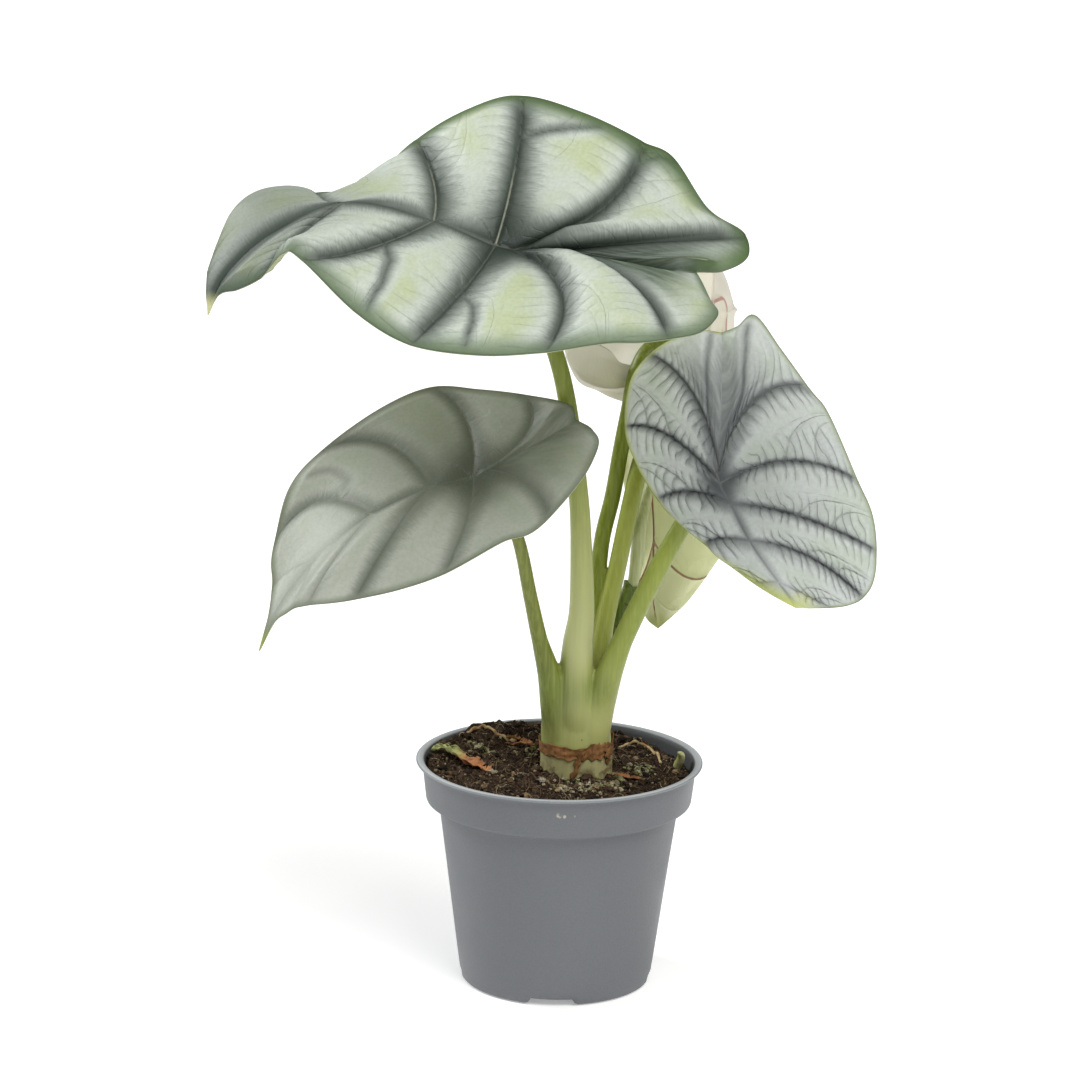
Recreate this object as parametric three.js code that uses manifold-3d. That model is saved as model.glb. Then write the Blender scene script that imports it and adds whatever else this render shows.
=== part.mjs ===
// Potted silver dragon alocasia: five quilted heart-shaped leaves on a short stem in a nursery pot.
// Millimetres, Z up, X to the right and Y away from the front of the plant.
import * as THREE from "three";
import Module from "manifold-3d";

// Pot
const POT_HEIGHT = 95;
const RIM_RADIUS = 60;
const WALL = 1.2;
const FLOOR_UNDER = 2.8;
const FLOOR_TOP = 4.2;
const NOTCHES = 4;
const NOTCH_WIDTH = 19;
const NOTCH_HEIGHT = 2.6;
const DRAIN_HOLES = 8;
const DRAIN_RADIUS = 3.2;
const DRAIN_RING = 24;
const AROUND = 40;

// Soil and fits
const SOIL_TOP = 89.8;
const GAP = 0.3;

// Leaves
const BLADE = 0.9;
const RIB_DEPTH = 1.5;
const SWELL_REACH = 16;
const NARROW = 12;
const ROWS_A_VEIN = 5;
const ACROSS = [0, 0.05, 0.25, 0.5, 0.75, 0.93, 1];

// Stalks: axis points [right, back, up] and the radius there
const STEM = [
  [7, 3, 62, 9], [7, 3, 70, 12.5], [7, 3, 84, 14.5], [7, 3, 98, 15.2], [6.5, 3, 109, 14.7],
  [7, 2, 125, 15.6], [7.5, 1, 134, 16.6], [8, 1, 139, 15], [8, 1, 142, 11.5], [8, 1, 143.5, 7]
];
const STALKS = {
  petiole_top: {
    colour: "#9aa653", into: "leaf_top",
    axis: [
      [7, -4, 122, 6.2], [7, -5, 137, 6.2], [8, -6, 160, 5.4], [7, -6, 193, 4.4], [6, -5, 207, 4.2],
      [0, -4, 250, 3.7], [-5, -4, 269, 3.5], [-15, -5, 292, 3.2], [-23, -5, 309, 3.4], [-25, -5, 314, 3.4]
    ]
  },
  petiole_right: {
    colour: "#9db072", into: "leaf_right",
    axis: [
      [16, -5, 122, 4.4], [21, -7, 137, 4.6], [25, -9, 149, 4.4], [32, -12, 166, 4.2],
      [38, -13, 179, 4.1], [48, -11, 198, 3.9], [55, -13, 210, 3.8], [60, -18, 216, 3.8],
      [63, -23.5, 220, 3.8], [64, -26, 221, 3.8]
    ]
  },
  petiole_left: {
    colour: "#a0a764", into: "leaf_left",
    axis: [
      [1, -3, 116, 4.2], [-3, -6, 131, 4], [-9, -11, 149, 3.4], [-13, -16, 168, 3], [-19, -22, 196, 2.7],
      [-26, -25, 211, 2.6], [-34, -24, 219, 2.7], [-38, -23, 223, 2.7]
    ]
  },
  petiole_lower_back: {
    colour: "#8c9440", into: "leaf_lower_back",
    axis: [
      [14, 2, 125, 4.2], [16, 3, 139, 4], [18, 4, 153, 3.8], [23, 7, 179, 3.8], [27, 10, 200, 3.8],
      [30, 14, 214, 3.8], [32, 19, 221, 3.7], [34, 27, 223, 3.6], [36, 34, 222, 3.5], [37, 39, 221, 3.5]
    ]
  },
  petiole_upper_back: {
    colour: "#6f7f22", into: "leaf_upper_back",
    axis: [
      [11, 8, 127, 3.8], [12, 8, 144, 3.6], [14, 9, 162, 3.5], [16, 12, 187, 3.4], [20, 15, 205, 3.4],
      [23, 18, 224, 3.4], [26, 21, 240, 3.5], [29, 25, 255, 3.7], [33, 30, 262, 4.1], [38, 36, 265, 4.3],
      [43, 41, 266, 4.2], [47, 45, 267, 4.2]
    ]
  },
  new_leaf_sheath: {
    colour: "#5d6b1c",
    axis: [
      [18, 9, 132, 2.8], [21, 10, 145, 3.2], [25, 12, 156, 3.9], [29, 13, 165, 4.3], [29.5, 13, 167, 3.4]
    ]
  },
  new_leaf_roll: {
    colour: "#b6bd86",
    axis: [
      [26.5, 12.5, 160, 1.6], [29, 13, 167, 2.4], [31, 14, 180, 3.3], [32, 15, 191, 3.2], [34, 19, 202, 2.8],
      [36, 22, 210, 1.6], [37, 24, 216, 0.6]
    ]
  }
};

// Things lying on the soil, with heights above it
const ROOTS = {
  root_strand_left: [
    [-45, 29, 0.3, 0.5], [-38, 36, 0.5, 0.7], [-29, 35, 0.4, 0.7], [-22, 30, 0.3, 0.6], [-17, 29, 0, 0.5]
  ],
  root_strand_right: [
    [25, 31, 0, 0.5], [31, 34, 0.4, 0.6], [37, 31, 0.5, 0.6], [41, 23, 0.4, 0.6], [43, 14, 0, 0.5]
  ]
};
const WITHERED = [
  [-53, 11, 0.6, 1.2], [-51, 9.5, 1, 2.8], [-48, 7, 1.4, 4.2], [-43, 3, 1.6, 4.6], [-38, -2, 1.5, 3.8],
  [-33, -7, 1, 2.4], [-30, -9, 0.6, 1]
];
const DRY_SHEATH = [[23, -2, 0.9, 1.4], [27, -5, 1.2, 2.4], [31, -7, 1, 2], [35, -8, 0.5, 0.8]];
const SPROUT = [[50, 9, -3, 0.9], [51, 8, 2, 0.9], [51.5, 7, 6, 0.8], [50.5, 6, 10, 0.5]];

// Leaves: offsets from the stalk joint as [vein, right, back, up]. Vein 0 is the notch between
// the lobes, 1 the vein into each lobe, 2 and up the side veins, and the last one the tip.
const LEAVES = {
  leaf_top: {
    at: [-24, -5, 311], quilt: 2.4, colour: "#cbd6c6", roughness: 0.52,
    rib: [
      [0, 76, 13, -10], [0.5, 39, 6, -7], [1, 6, 1, -1], [2, 0, 0, 0], [3, -6, -1, 2],
      [4, -31, -2, 12], [5, -67, -7, 20], [5.5, -96, -11, 7], [5.8, -117, -15, -14], [6, -121, -17, -26]
    ],
    frontVein: [
      [0, 76, 13, -10], [0.5, 59, -3, -11], [1, 44, -17, -6], [2, 21, -27, -12], [3, -19, -27, -13],
      [4, -58, -17, 2], [5, -84, -15, 7], [5.5, -103, -15, -4], [5.8, -117, -16, -16], [6, -121, -17, -26]
    ],
    frontEdge: [
      [0, 76, 13, -10], [0.25, 78, 1, -12], [0.5, 81, -13, -17], [0.75, 83, -31, -21], [0.88, 76, -41, -25],
      [1, 64, -49, -26], [1.5, 39, -57, -27], [2, 15, -61, -30], [2.5, -10, -61, -32], [3, -38, -56, -29],
      [3.5, -60, -45, -19], [4, -83, -31, 0], [4.5, -90, -28, 1], [5, -99, -25, -9], [5.5, -109, -22, -15],
      [5.8, -117, -19, -18], [6, -121, -17, -26]
    ],
    backVein: [
      [0, 76, 13, -10], [0.5, 65, 13, -6], [1, 53, 12, 2], [2, 36, 19, 14], [3, 1, 25, 30],
      [4, -32, 20, 24], [5, -74, 7, 16], [5.5, -104, -1, 9], [5.8, -120, -11, -13], [6, -121, -17, -26]
    ],
    backEdge: [
      [0, 76, 13, -10], [0.4, 87, 21, -11], [0.8, 98, 31, -5], [1, 97, 37, 1], [1.4, 80, 43, 12],
      [1.7, 66, 46, 32], [2, 54, 47, 38], [2.5, 29, 50, 49], [3, 3, 50, 56], [3.5, -19, 48, 50],
      [4, -40, 43, 38], [4.5, -62, 37, 18], [5, -81, 30, 17], [5.25, -99, 21, 16], [5.5, -112, 11, 8],
      [5.65, -118, 2, -3], [5.8, -122, -6, -13], [6, -121, -17, -26]
    ],
  },
  leaf_left: {
    at: [-37, -24, 221], quilt: 1.8, colour: "#a3a99a", roughness: 0.5,
    rib: [
      [0, 41, 7, 23], [0.5, 23, 3, 12], [1, 5, 0, 3], [2, 0, 0, 0], [3, -17, -4, -4],
      [4, -41, -11, -14], [5, -64, -18, -32], [5.6, -80, -22, -55], [6, -85, -26, -68]
    ],
    frontVein: [
      [0, 41, 7, 23], [0.5, 33, 2, 14], [1, 22, -8, -1], [2, -2, -16, -13], [3, -31, -22, -18],
      [4, -55, -26, -30], [5, -68, -23, -42], [5.6, -79, -23, -56], [6, -85, -26, -68]
    ],
    frontEdge: [
      [0, 41, 7, 23], [0.3, 48, 1, 20], [0.6, 50, -3, 13], [0.8, 44, -14, 3], [1, 31, -24, -11],
      [1.5, 12, -31, -20], [2, -10, -35, -32], [2.5, -28, -35, -39], [3, -46, -33, -44], [4, -66, -29, -48],
      [5, -74, -26, -52], [5.6, -80, -24, -58], [6, -85, -26, -68]
    ],
    backVein: [
      [0, 41, 7, 23], [0.5, 33, 8, 23], [1, 22, 11, 17], [2, -4, 24, 18], [3, -37, 20, 8],
      [4, -63, 8, -14], [5, -73, -11, -38], [5.6, -81, -21, -55], [6, -85, -26, -68]
    ],
    backEdge: [
      [0, 41, 7, 23], [0.4, 39, 10, 28], [1, 20, 21, 30], [1.5, 1, 30, 30], [2, -19, 37, 29],
      [2.5, -40, 34, 20], [3, -63, 26, 4], [3.5, -76, 16, -10], [4, -81, 2, -29], [5, -81, -12, -45],
      [5.6, -82, -20, -56], [6, -85, -26, -68]
    ],
  },
  leaf_right: {
    at: [63, -24, 220], quilt: 2.2, colour: "#b4bcba", roughness: 0.5,
    rib: [
      [0, 0, 28, 57], [0.5, 0, 13, 30], [1, -1, 3, 5], [2, 0, 0, 0], [3, 4, -4, -7],
      [4, 12, -10, -21], [5, 24, -14, -37], [5.6, 29, -13, -44], [6, 32, -9, -49]
    ],
    frontVein: [
      [0, 0, 28, 57], [0.5, 7, 16, 38], [1, 13, 12, 32], [2, 28, 4, 9], [3, 33, -6, -12],
      [4, 36, -11, -27], [5, 34, -13, -42], [5.6, 33, -13, -46], [6, 32, -9, -49]
    ],
    frontEdge: [
      [0, 0, 28, 57], [0.3, 7, 28, 60], [0.5, 13, 26, 65], [0.75, 24, 21, 52], [1, 35, 16, 38],
      [1.5, 44, 11, 27], [2, 56, 2, 2], [2.5, 62, -3, -11], [3, 64, -7, -25], [3.5, 63, -9, -37],
      [4, 59, -10, -44], [4.5, 53, -11, -47], [5, 46, -12, -48], [5.6, 38, -12, -48], [6, 32, -9, -49]
    ],
    backVein: [
      [0, 0, 28, 57], [0.5, -6, 22, 45], [1, -11, 20, 32], [2, -21, 16, 16], [3, -12, 6, -5],
      [4, 0, -4, -22], [5, 19, -11, -38], [5.6, 27, -12, -44], [6, 32, -9, -49]
    ],
    backEdge: [
      [0, 0, 28, 57], [0.3, -9, 31, 57], [0.6, -20, 32, 53], [1, -29, 31, 47], [1.5, -37, 28, 36],
      [2, -39, 22, 18], [2.5, -34, 17, 4], [3, -25, 12, -10], [3.5, -15, 6, -19], [4, -5, 1, -26],
      [5, 14, -8, -39], [5.6, 25, -11, -45], [6, 32, -9, -49]
    ],
  },
  leaf_upper_back: {
    at: [46, 43, 266], quilt: 1.0, colour: "#cfcfac", roughness: 0.6,
    rib: [
      [0, -16, -7, -10], [0.5, -9, -4, -6], [1, -3, -1, -2], [2, 0, 0, 0], [3, 7, 6, 6],
      [4, 14, 14, 13], [4.5, 18, 20, 14], [5, 20, 24, 8], [5.5, 20, 23, -9], [6, 17, 15, -29]
    ],
    frontVein: [
      [0, -16, -7, -10], [0.5, -21, -13, -11], [1, -22, -14, -17], [1.5, -15, -11, -16], [2, -9, -9, -16],
      [3, 3, -3, -14], [4, 9, 7, -10], [5, 13, 15, -15], [5.5, 13, 15, -23], [6, 17, 15, -29]
    ],
    frontEdge: [
      [0, -16, -7, -10], [0.3, -24, -15, -7], [0.6, -31, -18, 0], [0.75, -41, -18, 4], [0.88, -47, -16, -2],
      [1, -44, -14, -11], [1.4, -32, -9, -21], [2, -18, -4, -27], [2.5, -13, -2, -29], [3, -8, -1, -30],
      [4, -1, 3, -31], [5, 5, 7, -31], [5.5, 9, 10, -30], [6, 17, 15, -29]
    ],
    backVein: [
      [0, -16, -7, -10], [0.5, -21, 5, -7], [1, -25, 15, 0], [2, -13, 24, 13], [3, 1, 39, 23],
      [4, 15, 41, 24], [5, 24, 35, 7], [5.5, 23, 28, -12], [6, 17, 15, -29]
    ],
    backEdge: [
      [0, -16, -7, -10], [0.4, -29, 12, -13], [0.8, -42, 23, -8], [1.2, -44, 37, 6], [2, -30, 57, 23],
      [3, -7, 69, 30], [4, 13, 64, 27], [4.5, 21, 57, 18], [5, 25, 45, 4], [5.5, 24, 33, -15],
      [6, 17, 15, -29]
    ],
  },
  leaf_lower_back: {
    at: [36, 36, 222], quilt: 1.6, colour: "#b9c08a", roughness: 0.6,
    rib: [
      [0, -1, 6, 8], [0.5, 0, 4, 5], [1, 0, 2, 2], [2, 0, 0, -1], [3, 1, -1, -15],
      [4, 3, -1, -41], [5, 3, 2, -63], [5.6, 4, 5, -75], [6, 5, 6, -81]
    ],
    frontVein: [
      [0, -1, 6, 8], [0.5, 4, 7, 10], [1, 10, 6, 8], [2, 21, 1, -7], [3, 19, -6, -30],
      [4, 15, -7, -54], [5, 9, 0, -70], [5.6, 6, 5, -78], [6, 5, 6, -81]
    ],
    frontEdge: [
      [0, -1, 6, 8], [0.4, 7, 12, 11.2], [1, 22, 14, 7.5], [1.5, 33, 10, -3], [2, 37, 6, -18],
      [3, 35, 1, -38], [4, 26, 0, -54], [5, 16, 2, -69], [5.6, 8, 5, -78], [6, 5, 6, -81]
    ],
    backVein: [
      [0, -1, 6, 8], [0.5, -3, 7, 6], [1, -6, 8, 0], [2, -4, 6, -17], [3, -3, 4, -38],
      [4, -1, 4, -56], [5, 0, 5, -68], [5.6, 2, 5, -77], [6, 5, 6, -81]
    ],
    backEdge: [
      [0, -1, 6, 8], [0.4, -4, 10, 9], [1, -12, 14, -3], [1.5, -12, 15, -14], [2, -9, 13, -29],
      [3, -7, 10, -46], [4, -5, 8, -63], [5, -2, 7, -72], [5.6, 1, 6, -78], [6, 5, 6, -81]
    ],
  },
};

const wasm = await Module();
wasm.setup();

function point(right, back, up) {
  return new THREE.Vector3(right, back, up);
}

function solidFrom(points, faces) {
  const vertProperties = new Float32Array(points.flatMap((spot) => [spot.x, spot.y, spot.z]));
  const kept = faces.filter(([a, b, c]) => a !== b && b !== c && a !== c);
  const triVerts = new Uint32Array(kept.flat());
  return new wasm.Manifold(new wasm.Mesh({ numProp: 3, vertProperties, triVerts }));
}

// A solid through closed loops of points, with a flat fan over each end unless the loops form a ring.
function loft(loops, ring = false) {
  const count = loops[0].length;
  const points = loops.flat();
  const faces = [];
  const last = ring ? loops.length : loops.length - 1;
  for (let i = 0; i < last; i += 1) {
    const low = i * count;
    const high = ((i + 1) % loops.length) * count;
    for (let j = 0; j < count; j += 1) {
      const next = (j + 1) % count;
      faces.push([low + j, low + next, high + next], [low + j, high + next, high + j]);
    }
  }
  if (!ring) {
    const end = (loops.length - 1) * count;
    for (let j = 1; j < count - 1; j += 1) {
      faces.push([0, j + 1, j], [end, end + j, end + j + 1]);
    }
  }
  return solidFrom(points, faces);
}

function circle(radius, height, count = AROUND, turn = 0) {
  return Array.from({ length: count }, (_, step) => {
    const angle = turn + (step / count) * Math.PI * 2;
    return point(radius * Math.cos(angle), radius * Math.sin(angle), height);
  });
}

// A tapered round rod along an axis of [right, back, up, radius] points.
function rod(axis, sides, steps, more = 0) {
  const curve = new THREE.CatmullRomCurve3(axis.map(([x, y, z]) => point(x, y, z)), false, "centripetal");
  let across = point(1, 0, 0);
  const loops = [];
  for (let step = 0; step <= steps; step += 1) {
    const place = step / steps;
    const reach = place * (axis.length - 1);
    const before = Math.min(Math.floor(reach), axis.length - 2);
    const radius = THREE.MathUtils.lerp(axis[before][3], axis[before + 1][3], reach - before) + more;
    const along = curve.getTangent(place);
    across = across.clone().addScaledVector(along, -across.dot(along)).normalize();
    const beside = along.clone().cross(across);
    const centre = curve.getPoint(place);
    loops.push(
      Array.from({ length: sides }, (_, side) => {
        const angle = (side / sides) * Math.PI * 2;
        return centre
          .clone()
          .addScaledVector(across, radius * Math.cos(angle))
          .addScaledVector(beside, radius * Math.sin(angle));
      })
    );
  }
  return loft(loops);
}

// A smooth value through [place, right, back, up] rows. A calm line never swings past its points.
function through(rows, place, calm = false) {
  let before = 0;
  while (before < rows.length - 2 && place >= rows[before + 1][0]) {
    before += 1;
  }
  const span = rows[before + 1][0] - rows[before][0];
  const t = (place - rows[before][0]) / span;
  const rise = (from, to, axis) => (rows[to][axis] - rows[from][axis]) / (rows[to][0] - rows[from][0]);
  const slope = (row, axis) => {
    const left = row > 0 ? rise(row - 1, row, axis) : null;
    const right = row < rows.length - 1 ? rise(row, row + 1, axis) : null;
    if (left === null) {
      return right;
    }
    if (right === null) {
      return left;
    }
    if (calm) {
      return left * right > 0 ? (2 * left * right) / (left + right) : 0;
    }
    const ahead = rows[row + 1][0] - rows[row][0];
    const behind = rows[row][0] - rows[row - 1][0];
    return (left * ahead + right * behind) / (ahead + behind);
  };
  const value = (axis) =>
    (2 * t ** 3 - 3 * t ** 2 + 1) * rows[before][axis] +
    (t ** 3 - 2 * t ** 2 + t) * span * slope(before, axis) +
    (3 * t ** 2 - 2 * t ** 3) * rows[before + 1][axis] +
    (t ** 3 - t ** 2) * span * slope(before + 1, axis);
  return point(value(1), value(2), value(3));
}

// A thin sheet over a grid of points, the same triangles above and below.
// A row whose points all meet becomes one corner. thickness(i, j) gives [above, below].
function sheet(grid, thickness) {
  const points = [];
  const index = grid.map((row) => {
    const meets = row[0].distanceTo(row[row.length - 1]) < 1e-6;
    if (meets) {
      points.push(row[0]);
      return row.map(() => points.length - 1);
    }
    return row.map((spot) => points.push(spot) - 1);
  });
  const faces = [];
  for (let i = 0; i < grid.length - 1; i += 1) {
    for (let j = 0; j < grid[0].length - 1; j += 1) {
      const [a, b, c, d] = [index[i][j], index[i][j + 1], index[i + 1][j + 1], index[i + 1][j]];
      faces.push([a, b, c], [a, c, d]);
    }
  }
  const kept = faces.filter(([a, b, c]) => a !== b && b !== c && a !== c);
  const normals = points.map(() => point(0, 0, 0));
  for (const [a, b, c] of kept) {
    const ab = points[b].clone().sub(points[a]);
    const face = ab.cross(points[c].clone().sub(points[a]));
    [a, b, c].forEach((corner) => normals[corner].add(face));
  }
  normals.forEach((normal) => normal.normalize());
  // Where the sheet is narrow every point of a row is thickened the same way.
  index.forEach((row) => {
    const width = points[row[0]].distanceTo(points[row[row.length - 1]]);
    const share = THREE.MathUtils.clamp((NARROW - width) / 4, 0, 1);
    const mean = point(0, 0, 0);
    row.forEach((corner) => mean.add(normals[corner]));
    mean.normalize();
    new Set(row).forEach((corner) => normals[corner].lerp(mean, share).normalize());
  });
  const deep = points.map(() => [0, 0]);
  index.forEach((row, i) => row.forEach((corner, j) => { deep[corner] = thickness(i, j); }));
  const above = points.map((spot, n) => spot.clone().addScaledVector(normals[n], deep[n][0]));
  const below = points.map((spot, n) => spot.clone().addScaledVector(normals[n], -deep[n][1]));
  const size = points.length;
  const all = kept.flatMap(([a, b, c]) => [[a, b, c], [a + size, c + size, b + size]]);
  const rim = [];
  const end = grid[0].length - 1;
  for (let i = 0; i < grid.length - 1; i += 1) {
    rim.push([index[i + 1][0], index[i][0]], [index[i][end], index[i + 1][end]]);
  }
  for (let j = 0; j < end; j += 1) {
    rim.push([index[0][j], index[0][j + 1]], [index[grid.length - 1][j + 1], index[grid.length - 1][j]]);
  }
  for (const [a, b] of rim.filter(([a, b]) => a !== b)) {
    all.push([b, a, a + size], [b, a + size, b + size]);
  }
  return solidFrom([...above, ...below], all);
}

// A blade: side veins run from the rib to the margin, and the blade swells between them.
function blade(leaf, more = 0) {
  const tip = leaf.rib[leaf.rib.length - 1][0];
  const rows = tip * ROWS_A_VEIN;
  const joint = point(...leaf.at);
  const half = (place, vein, edge, v) => {
    const start = through(leaf.rib, place, true);
    const middle = through(vein, place);
    const margin = through(edge, place);
    return start
      .multiplyScalar((1 - v) * (1 - 2 * v))
      .addScaledVector(middle, 4 * v * (1 - v))
      .addScaledVector(margin, v * (2 * v - 1))
      .add(joint);
  };
  const across = [...ACROSS.slice(1).reverse().map((v) => -v), ...ACROSS];
  const grid = [];
  for (let row = 0; row <= rows; row += 1) {
    const place = row / ROWS_A_VEIN;
    // Before the joint the columns beside the rib stand further off, so the two halves stay apart.
    const wide = 1 + 1.6 * THREE.MathUtils.clamp((3 - place) / 1.5, 0, 1);
    const spread = across.map((v) => (Math.abs(v) === ACROSS[1] ? v * wide : v));
    grid.push(
      spread.map((v) =>
        v < 0
          ? half(place, leaf.frontVein, leaf.frontEdge, -v)
          : half(place, leaf.backVein, leaf.backEdge, v)
      )
    );
  }
  // Swell between the veins, and a stout rib underneath that starts past the stalk and thins out to the tip.
  const swell = (row, column) => {
    const v = Math.abs(across[column]);
    const reach = grid[row][column].distanceTo(grid[row][ACROSS.length - 1]);
    const height = leaf.quilt * Math.sin((Math.PI * row) / ROWS_A_VEIN) ** 2;
    return height * Math.min(1, reach / SWELL_REACH) * Math.min(1, 6 * (1 - v) + 0.1);
  };
  const rib = (row, column) => {
    const v = Math.abs(across[column]);
    const beyondJoint = Math.max(0, Math.min(1, row / ROWS_A_VEIN - 2));
    return RIB_DEPTH * Math.max(0, 1 - v / 0.05) * beyondJoint * (1 - row / rows);
  };
  return sheet(grid, (row, column) => {
    const lift = swell(row, column);
    return [BLADE / 2 + more + lift, BLADE / 2 + more - lift + rib(row, column)];
  });
}

function potProfile() {
  return [
    [9, 0], [9.6, FLOOR_UNDER], [35.4, FLOOR_UNDER], [36.4, 0], [39.4, 0], [40.2, 0.9],
    [50.4, 76], [51.1, 77], [55.2, 77.7], [55.7, 78.4], [57.4, 93.3], [59.2, 93.8],
    [RIM_RADIUS, 94.2], [RIM_RADIUS, 94.8], [RIM_RADIUS - 0.4, POT_HEIGHT], [57.6, POT_HEIGHT],
    [56.5, 94.3], ...insideProfile()
  ];
}

// The inside wall from the top down to the floor.
function insideProfile() {
  return [
    [57.4 - WALL, 92], [55.7 - WALL, 79.4], [54.2 - WALL, 78.7], [50.9 - WALL, 78.2],
    [50.4 - WALL, 76.4], [40.5 - WALL, FLOOR_TOP]
  ];
}

function pot() {
  let body = loft(potProfile().map(([radius, height]) => circle(radius, height)));
  for (let notch = 0; notch < NOTCHES; notch += 1) {
    const cutter = wasm.Manifold.cube([NOTCH_WIDTH, 14, NOTCH_HEIGHT * 2], true)
      .translate([0, -39, 0])
      .rotate([0, 0, notch * (360 / NOTCHES) - 2]);
    body = body.subtract(cutter);
  }
  for (let hole = 0; hole < DRAIN_HOLES; hole += 1) {
    const drain = wasm.Manifold.cylinder(12, DRAIN_RADIUS, DRAIN_RADIUS, 16, true)
      .translate([DRAIN_RING, 0, 0])
      .rotate([0, 0, (hole + 0.5) * (360 / DRAIN_HOLES)]);
    body = body.subtract(drain);
  }
  return body;
}

// The soil lies a little higher at the back left and is lumpy.
function soilHeight(x, y) {
  const slope = -0.04 * x + 0.04 * y;
  const lumps = 0.9 * Math.sin(x * 0.21 + 1) * Math.cos(y * 0.19) + 0.6 * Math.sin(x * 0.47 + y * 0.33);
  const fine = 0.4 * Math.sin(x * 0.93 - y * 0.71 + 2);
  return SOIL_TOP + slope + lumps + fine;
}

function onSoil(rows) {
  return rows.map(([x, y, above, reach]) => [x, y, soilHeight(x, y) + above, reach]);
}

function soil() {
  const wall = insideProfile().reverse();
  const loops = wall.map(([radius, height]) => {
    const lift = height === FLOOR_TOP ? GAP : 0;
    return circle(radius - GAP, height + lift);
  });
  loops.pop();
  for (const share of [1, 0.96, 0.84, 0.7, 0.56, 0.42, 0.28, 0.14, 0.03]) {
    const edge = 55.5 - GAP;
    loops.push(circle(edge * share, 0).map((spot) => point(spot.x, spot.y, soilHeight(spot.x, spot.y))));
  }
  return loft(loops);
}

// Brown papery ring where an old leaf came away, ragged on top, with a strip hanging down the front.
function collar(more = 0) {
  const count = 32;
  const loops = [];
  for (let step = 0; step < count; step += 1) {
    const angle = (step / count) * Math.PI * 2;
    const top = 103.6 + 1.3 * Math.sin(angle * 5) + 0.9 * Math.sin(angle * 11 + 1) + 1.5 * Math.cos(angle);
    const foot = 99.8 + 0.7 * Math.sin(angle * 4 + 2);
    const inner = 14.95 + GAP - more;
    const outer = 16 + 0.5 * Math.max(0, Math.cos(angle)) + more;
    const spot = (radius, height) => {
      return point(6.8 + radius * Math.cos(angle), 3 + radius * Math.sin(angle), height);
    };
    loops.push([
      spot(inner, top + more),
      spot(outer + 0.2, top + more),
      spot(outer, foot - more),
      spot(inner + 0.3, foot - more)
    ]);
  }
  const ring = loft(loops, true);
  const strip = [];
  for (let row = 0; row <= 6; row += 1) {
    const down = row / 6;
    strip.push(
      [-1, 0, 1].map((side) => {
        const angle = -Math.PI / 2 + 0.1 - 0.16 * down + side * (0.09 - 0.04 * down);
        const radius = 15.95 - 0.15 * down;
        return point(6.8 + radius * Math.cos(angle), 3 + radius * Math.sin(angle), 102 - 9.5 * down);
      })
    );
  }
  return ring.add(sheet(strip, () => [0.4 + more, 0.4 + more]));
}

// A curled strip: rows of [right, back, up, half width], cupped by curl.
function strip(rows, heading, curl, thickness, more = 0) {
  const side = point(-Math.sin(heading), Math.cos(heading), 0);
  const grid = rows.map(([x, y, z, reach]) =>
    [-1, -0.5, 0, 0.5, 1].map((place) =>
      point(x, y, z + curl * place * place).addScaledVector(side, reach * place)
    )
  );
  return sheet(grid, () => [thickness / 2 + more, thickness / 2 + more]);
}

function largest(solid) {
  return solid.decompose().sort((a, b) => b.volume() - a.volume())[0];
}

function named(name, solid, colour, roughness) {
  const mesh = solid.getMesh();
  const geometry = new THREE.BufferGeometry();
  geometry.setAttribute("position", new THREE.BufferAttribute(new Float32Array(mesh.vertProperties), 3));
  geometry.setIndex(new THREE.BufferAttribute(new Uint32Array(mesh.triVerts), 1));
  geometry.computeVertexNormals();
  const material = new THREE.MeshStandardMaterial({ color: colour, roughness, metalness: 0 });
  material.name = `${name}_finish`;
  const part = new THREE.Mesh(geometry, material);
  part.name = name;
  return part;
}

const plant = new THREE.Group();
plant.name = "silver_dragon_alocasia";
plant.add(named("pot", pot(), "#7a8288", 0.55));

for (const [name, leaf] of Object.entries(LEAVES)) {
  plant.add(named(name, blade(leaf), leaf.colour, leaf.roughness));
}

// Each stalk gives way to the ones before it and stops just under its own leaf.
const rods = [];
let stem = rod(STEM, 20, 16);
for (const [name, stalk] of Object.entries(STALKS)) {
  let body = rod(stalk.axis, 12, 14);
  if (stalk.into) {
    body = body.subtract(blade(LEAVES[stalk.into], GAP)).subtract(blade(LEAVES[stalk.into]));
  }
  const others = name === "new_leaf_sheath" ? [...rods, rod(STALKS.new_leaf_roll.axis, 12, 14, GAP)] : rods;
  for (const other of others) {
    body = body.subtract(other);
  }
  body = largest(body);
  stem = stem.subtract(rod(stalk.axis, 12, 14, GAP));
  if (name !== "new_leaf_sheath") {
    rods.push(rod(stalk.axis, 12, 14, GAP));
  }
  plant.add(named(name, body, stalk.colour, 0.45));
}
plant.add(named("stem_base", largest(stem), "#b7bd84", 0.5));
plant.add(named("scar_collar", collar(), "#7d5a3a", 0.85));
plant.add(named("withered_leaf_scrap", strip(onSoil(WITHERED), -0.6, 1.8, 0.9), "#a8672f", 0.8));
plant.add(named("dry_sheath_scrap", strip(onSoil(DRY_SHEATH), -0.4, 1, 0.8), "#9a7148", 0.85));
plant.add(named("sprout", rod(onSoil(SPROUT), 8, 6), "#5f8a2c", 0.5));

let ground = soil().subtract(rod(STEM, 20, 16, GAP));
for (const [name, axis] of Object.entries(ROOTS)) {
  plant.add(named(name, rod(onSoil(axis), 6, 10), "#b59f78", 0.8));
  ground = ground.subtract(rod(onSoil(axis), 6, 10, GAP));
}
ground = ground
  .subtract(strip(onSoil(WITHERED), -0.6, 1.8, 0.9, GAP))
  .subtract(strip(onSoil(DRY_SHEATH), -0.4, 1, 0.8, GAP))
  .subtract(rod(onSoil(SPROUT), 8, 6, GAP))
  .subtract(collar(GAP));
plant.add(named("soil", largest(ground), "#3b2c22", 0.95));

export default plant;
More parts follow.
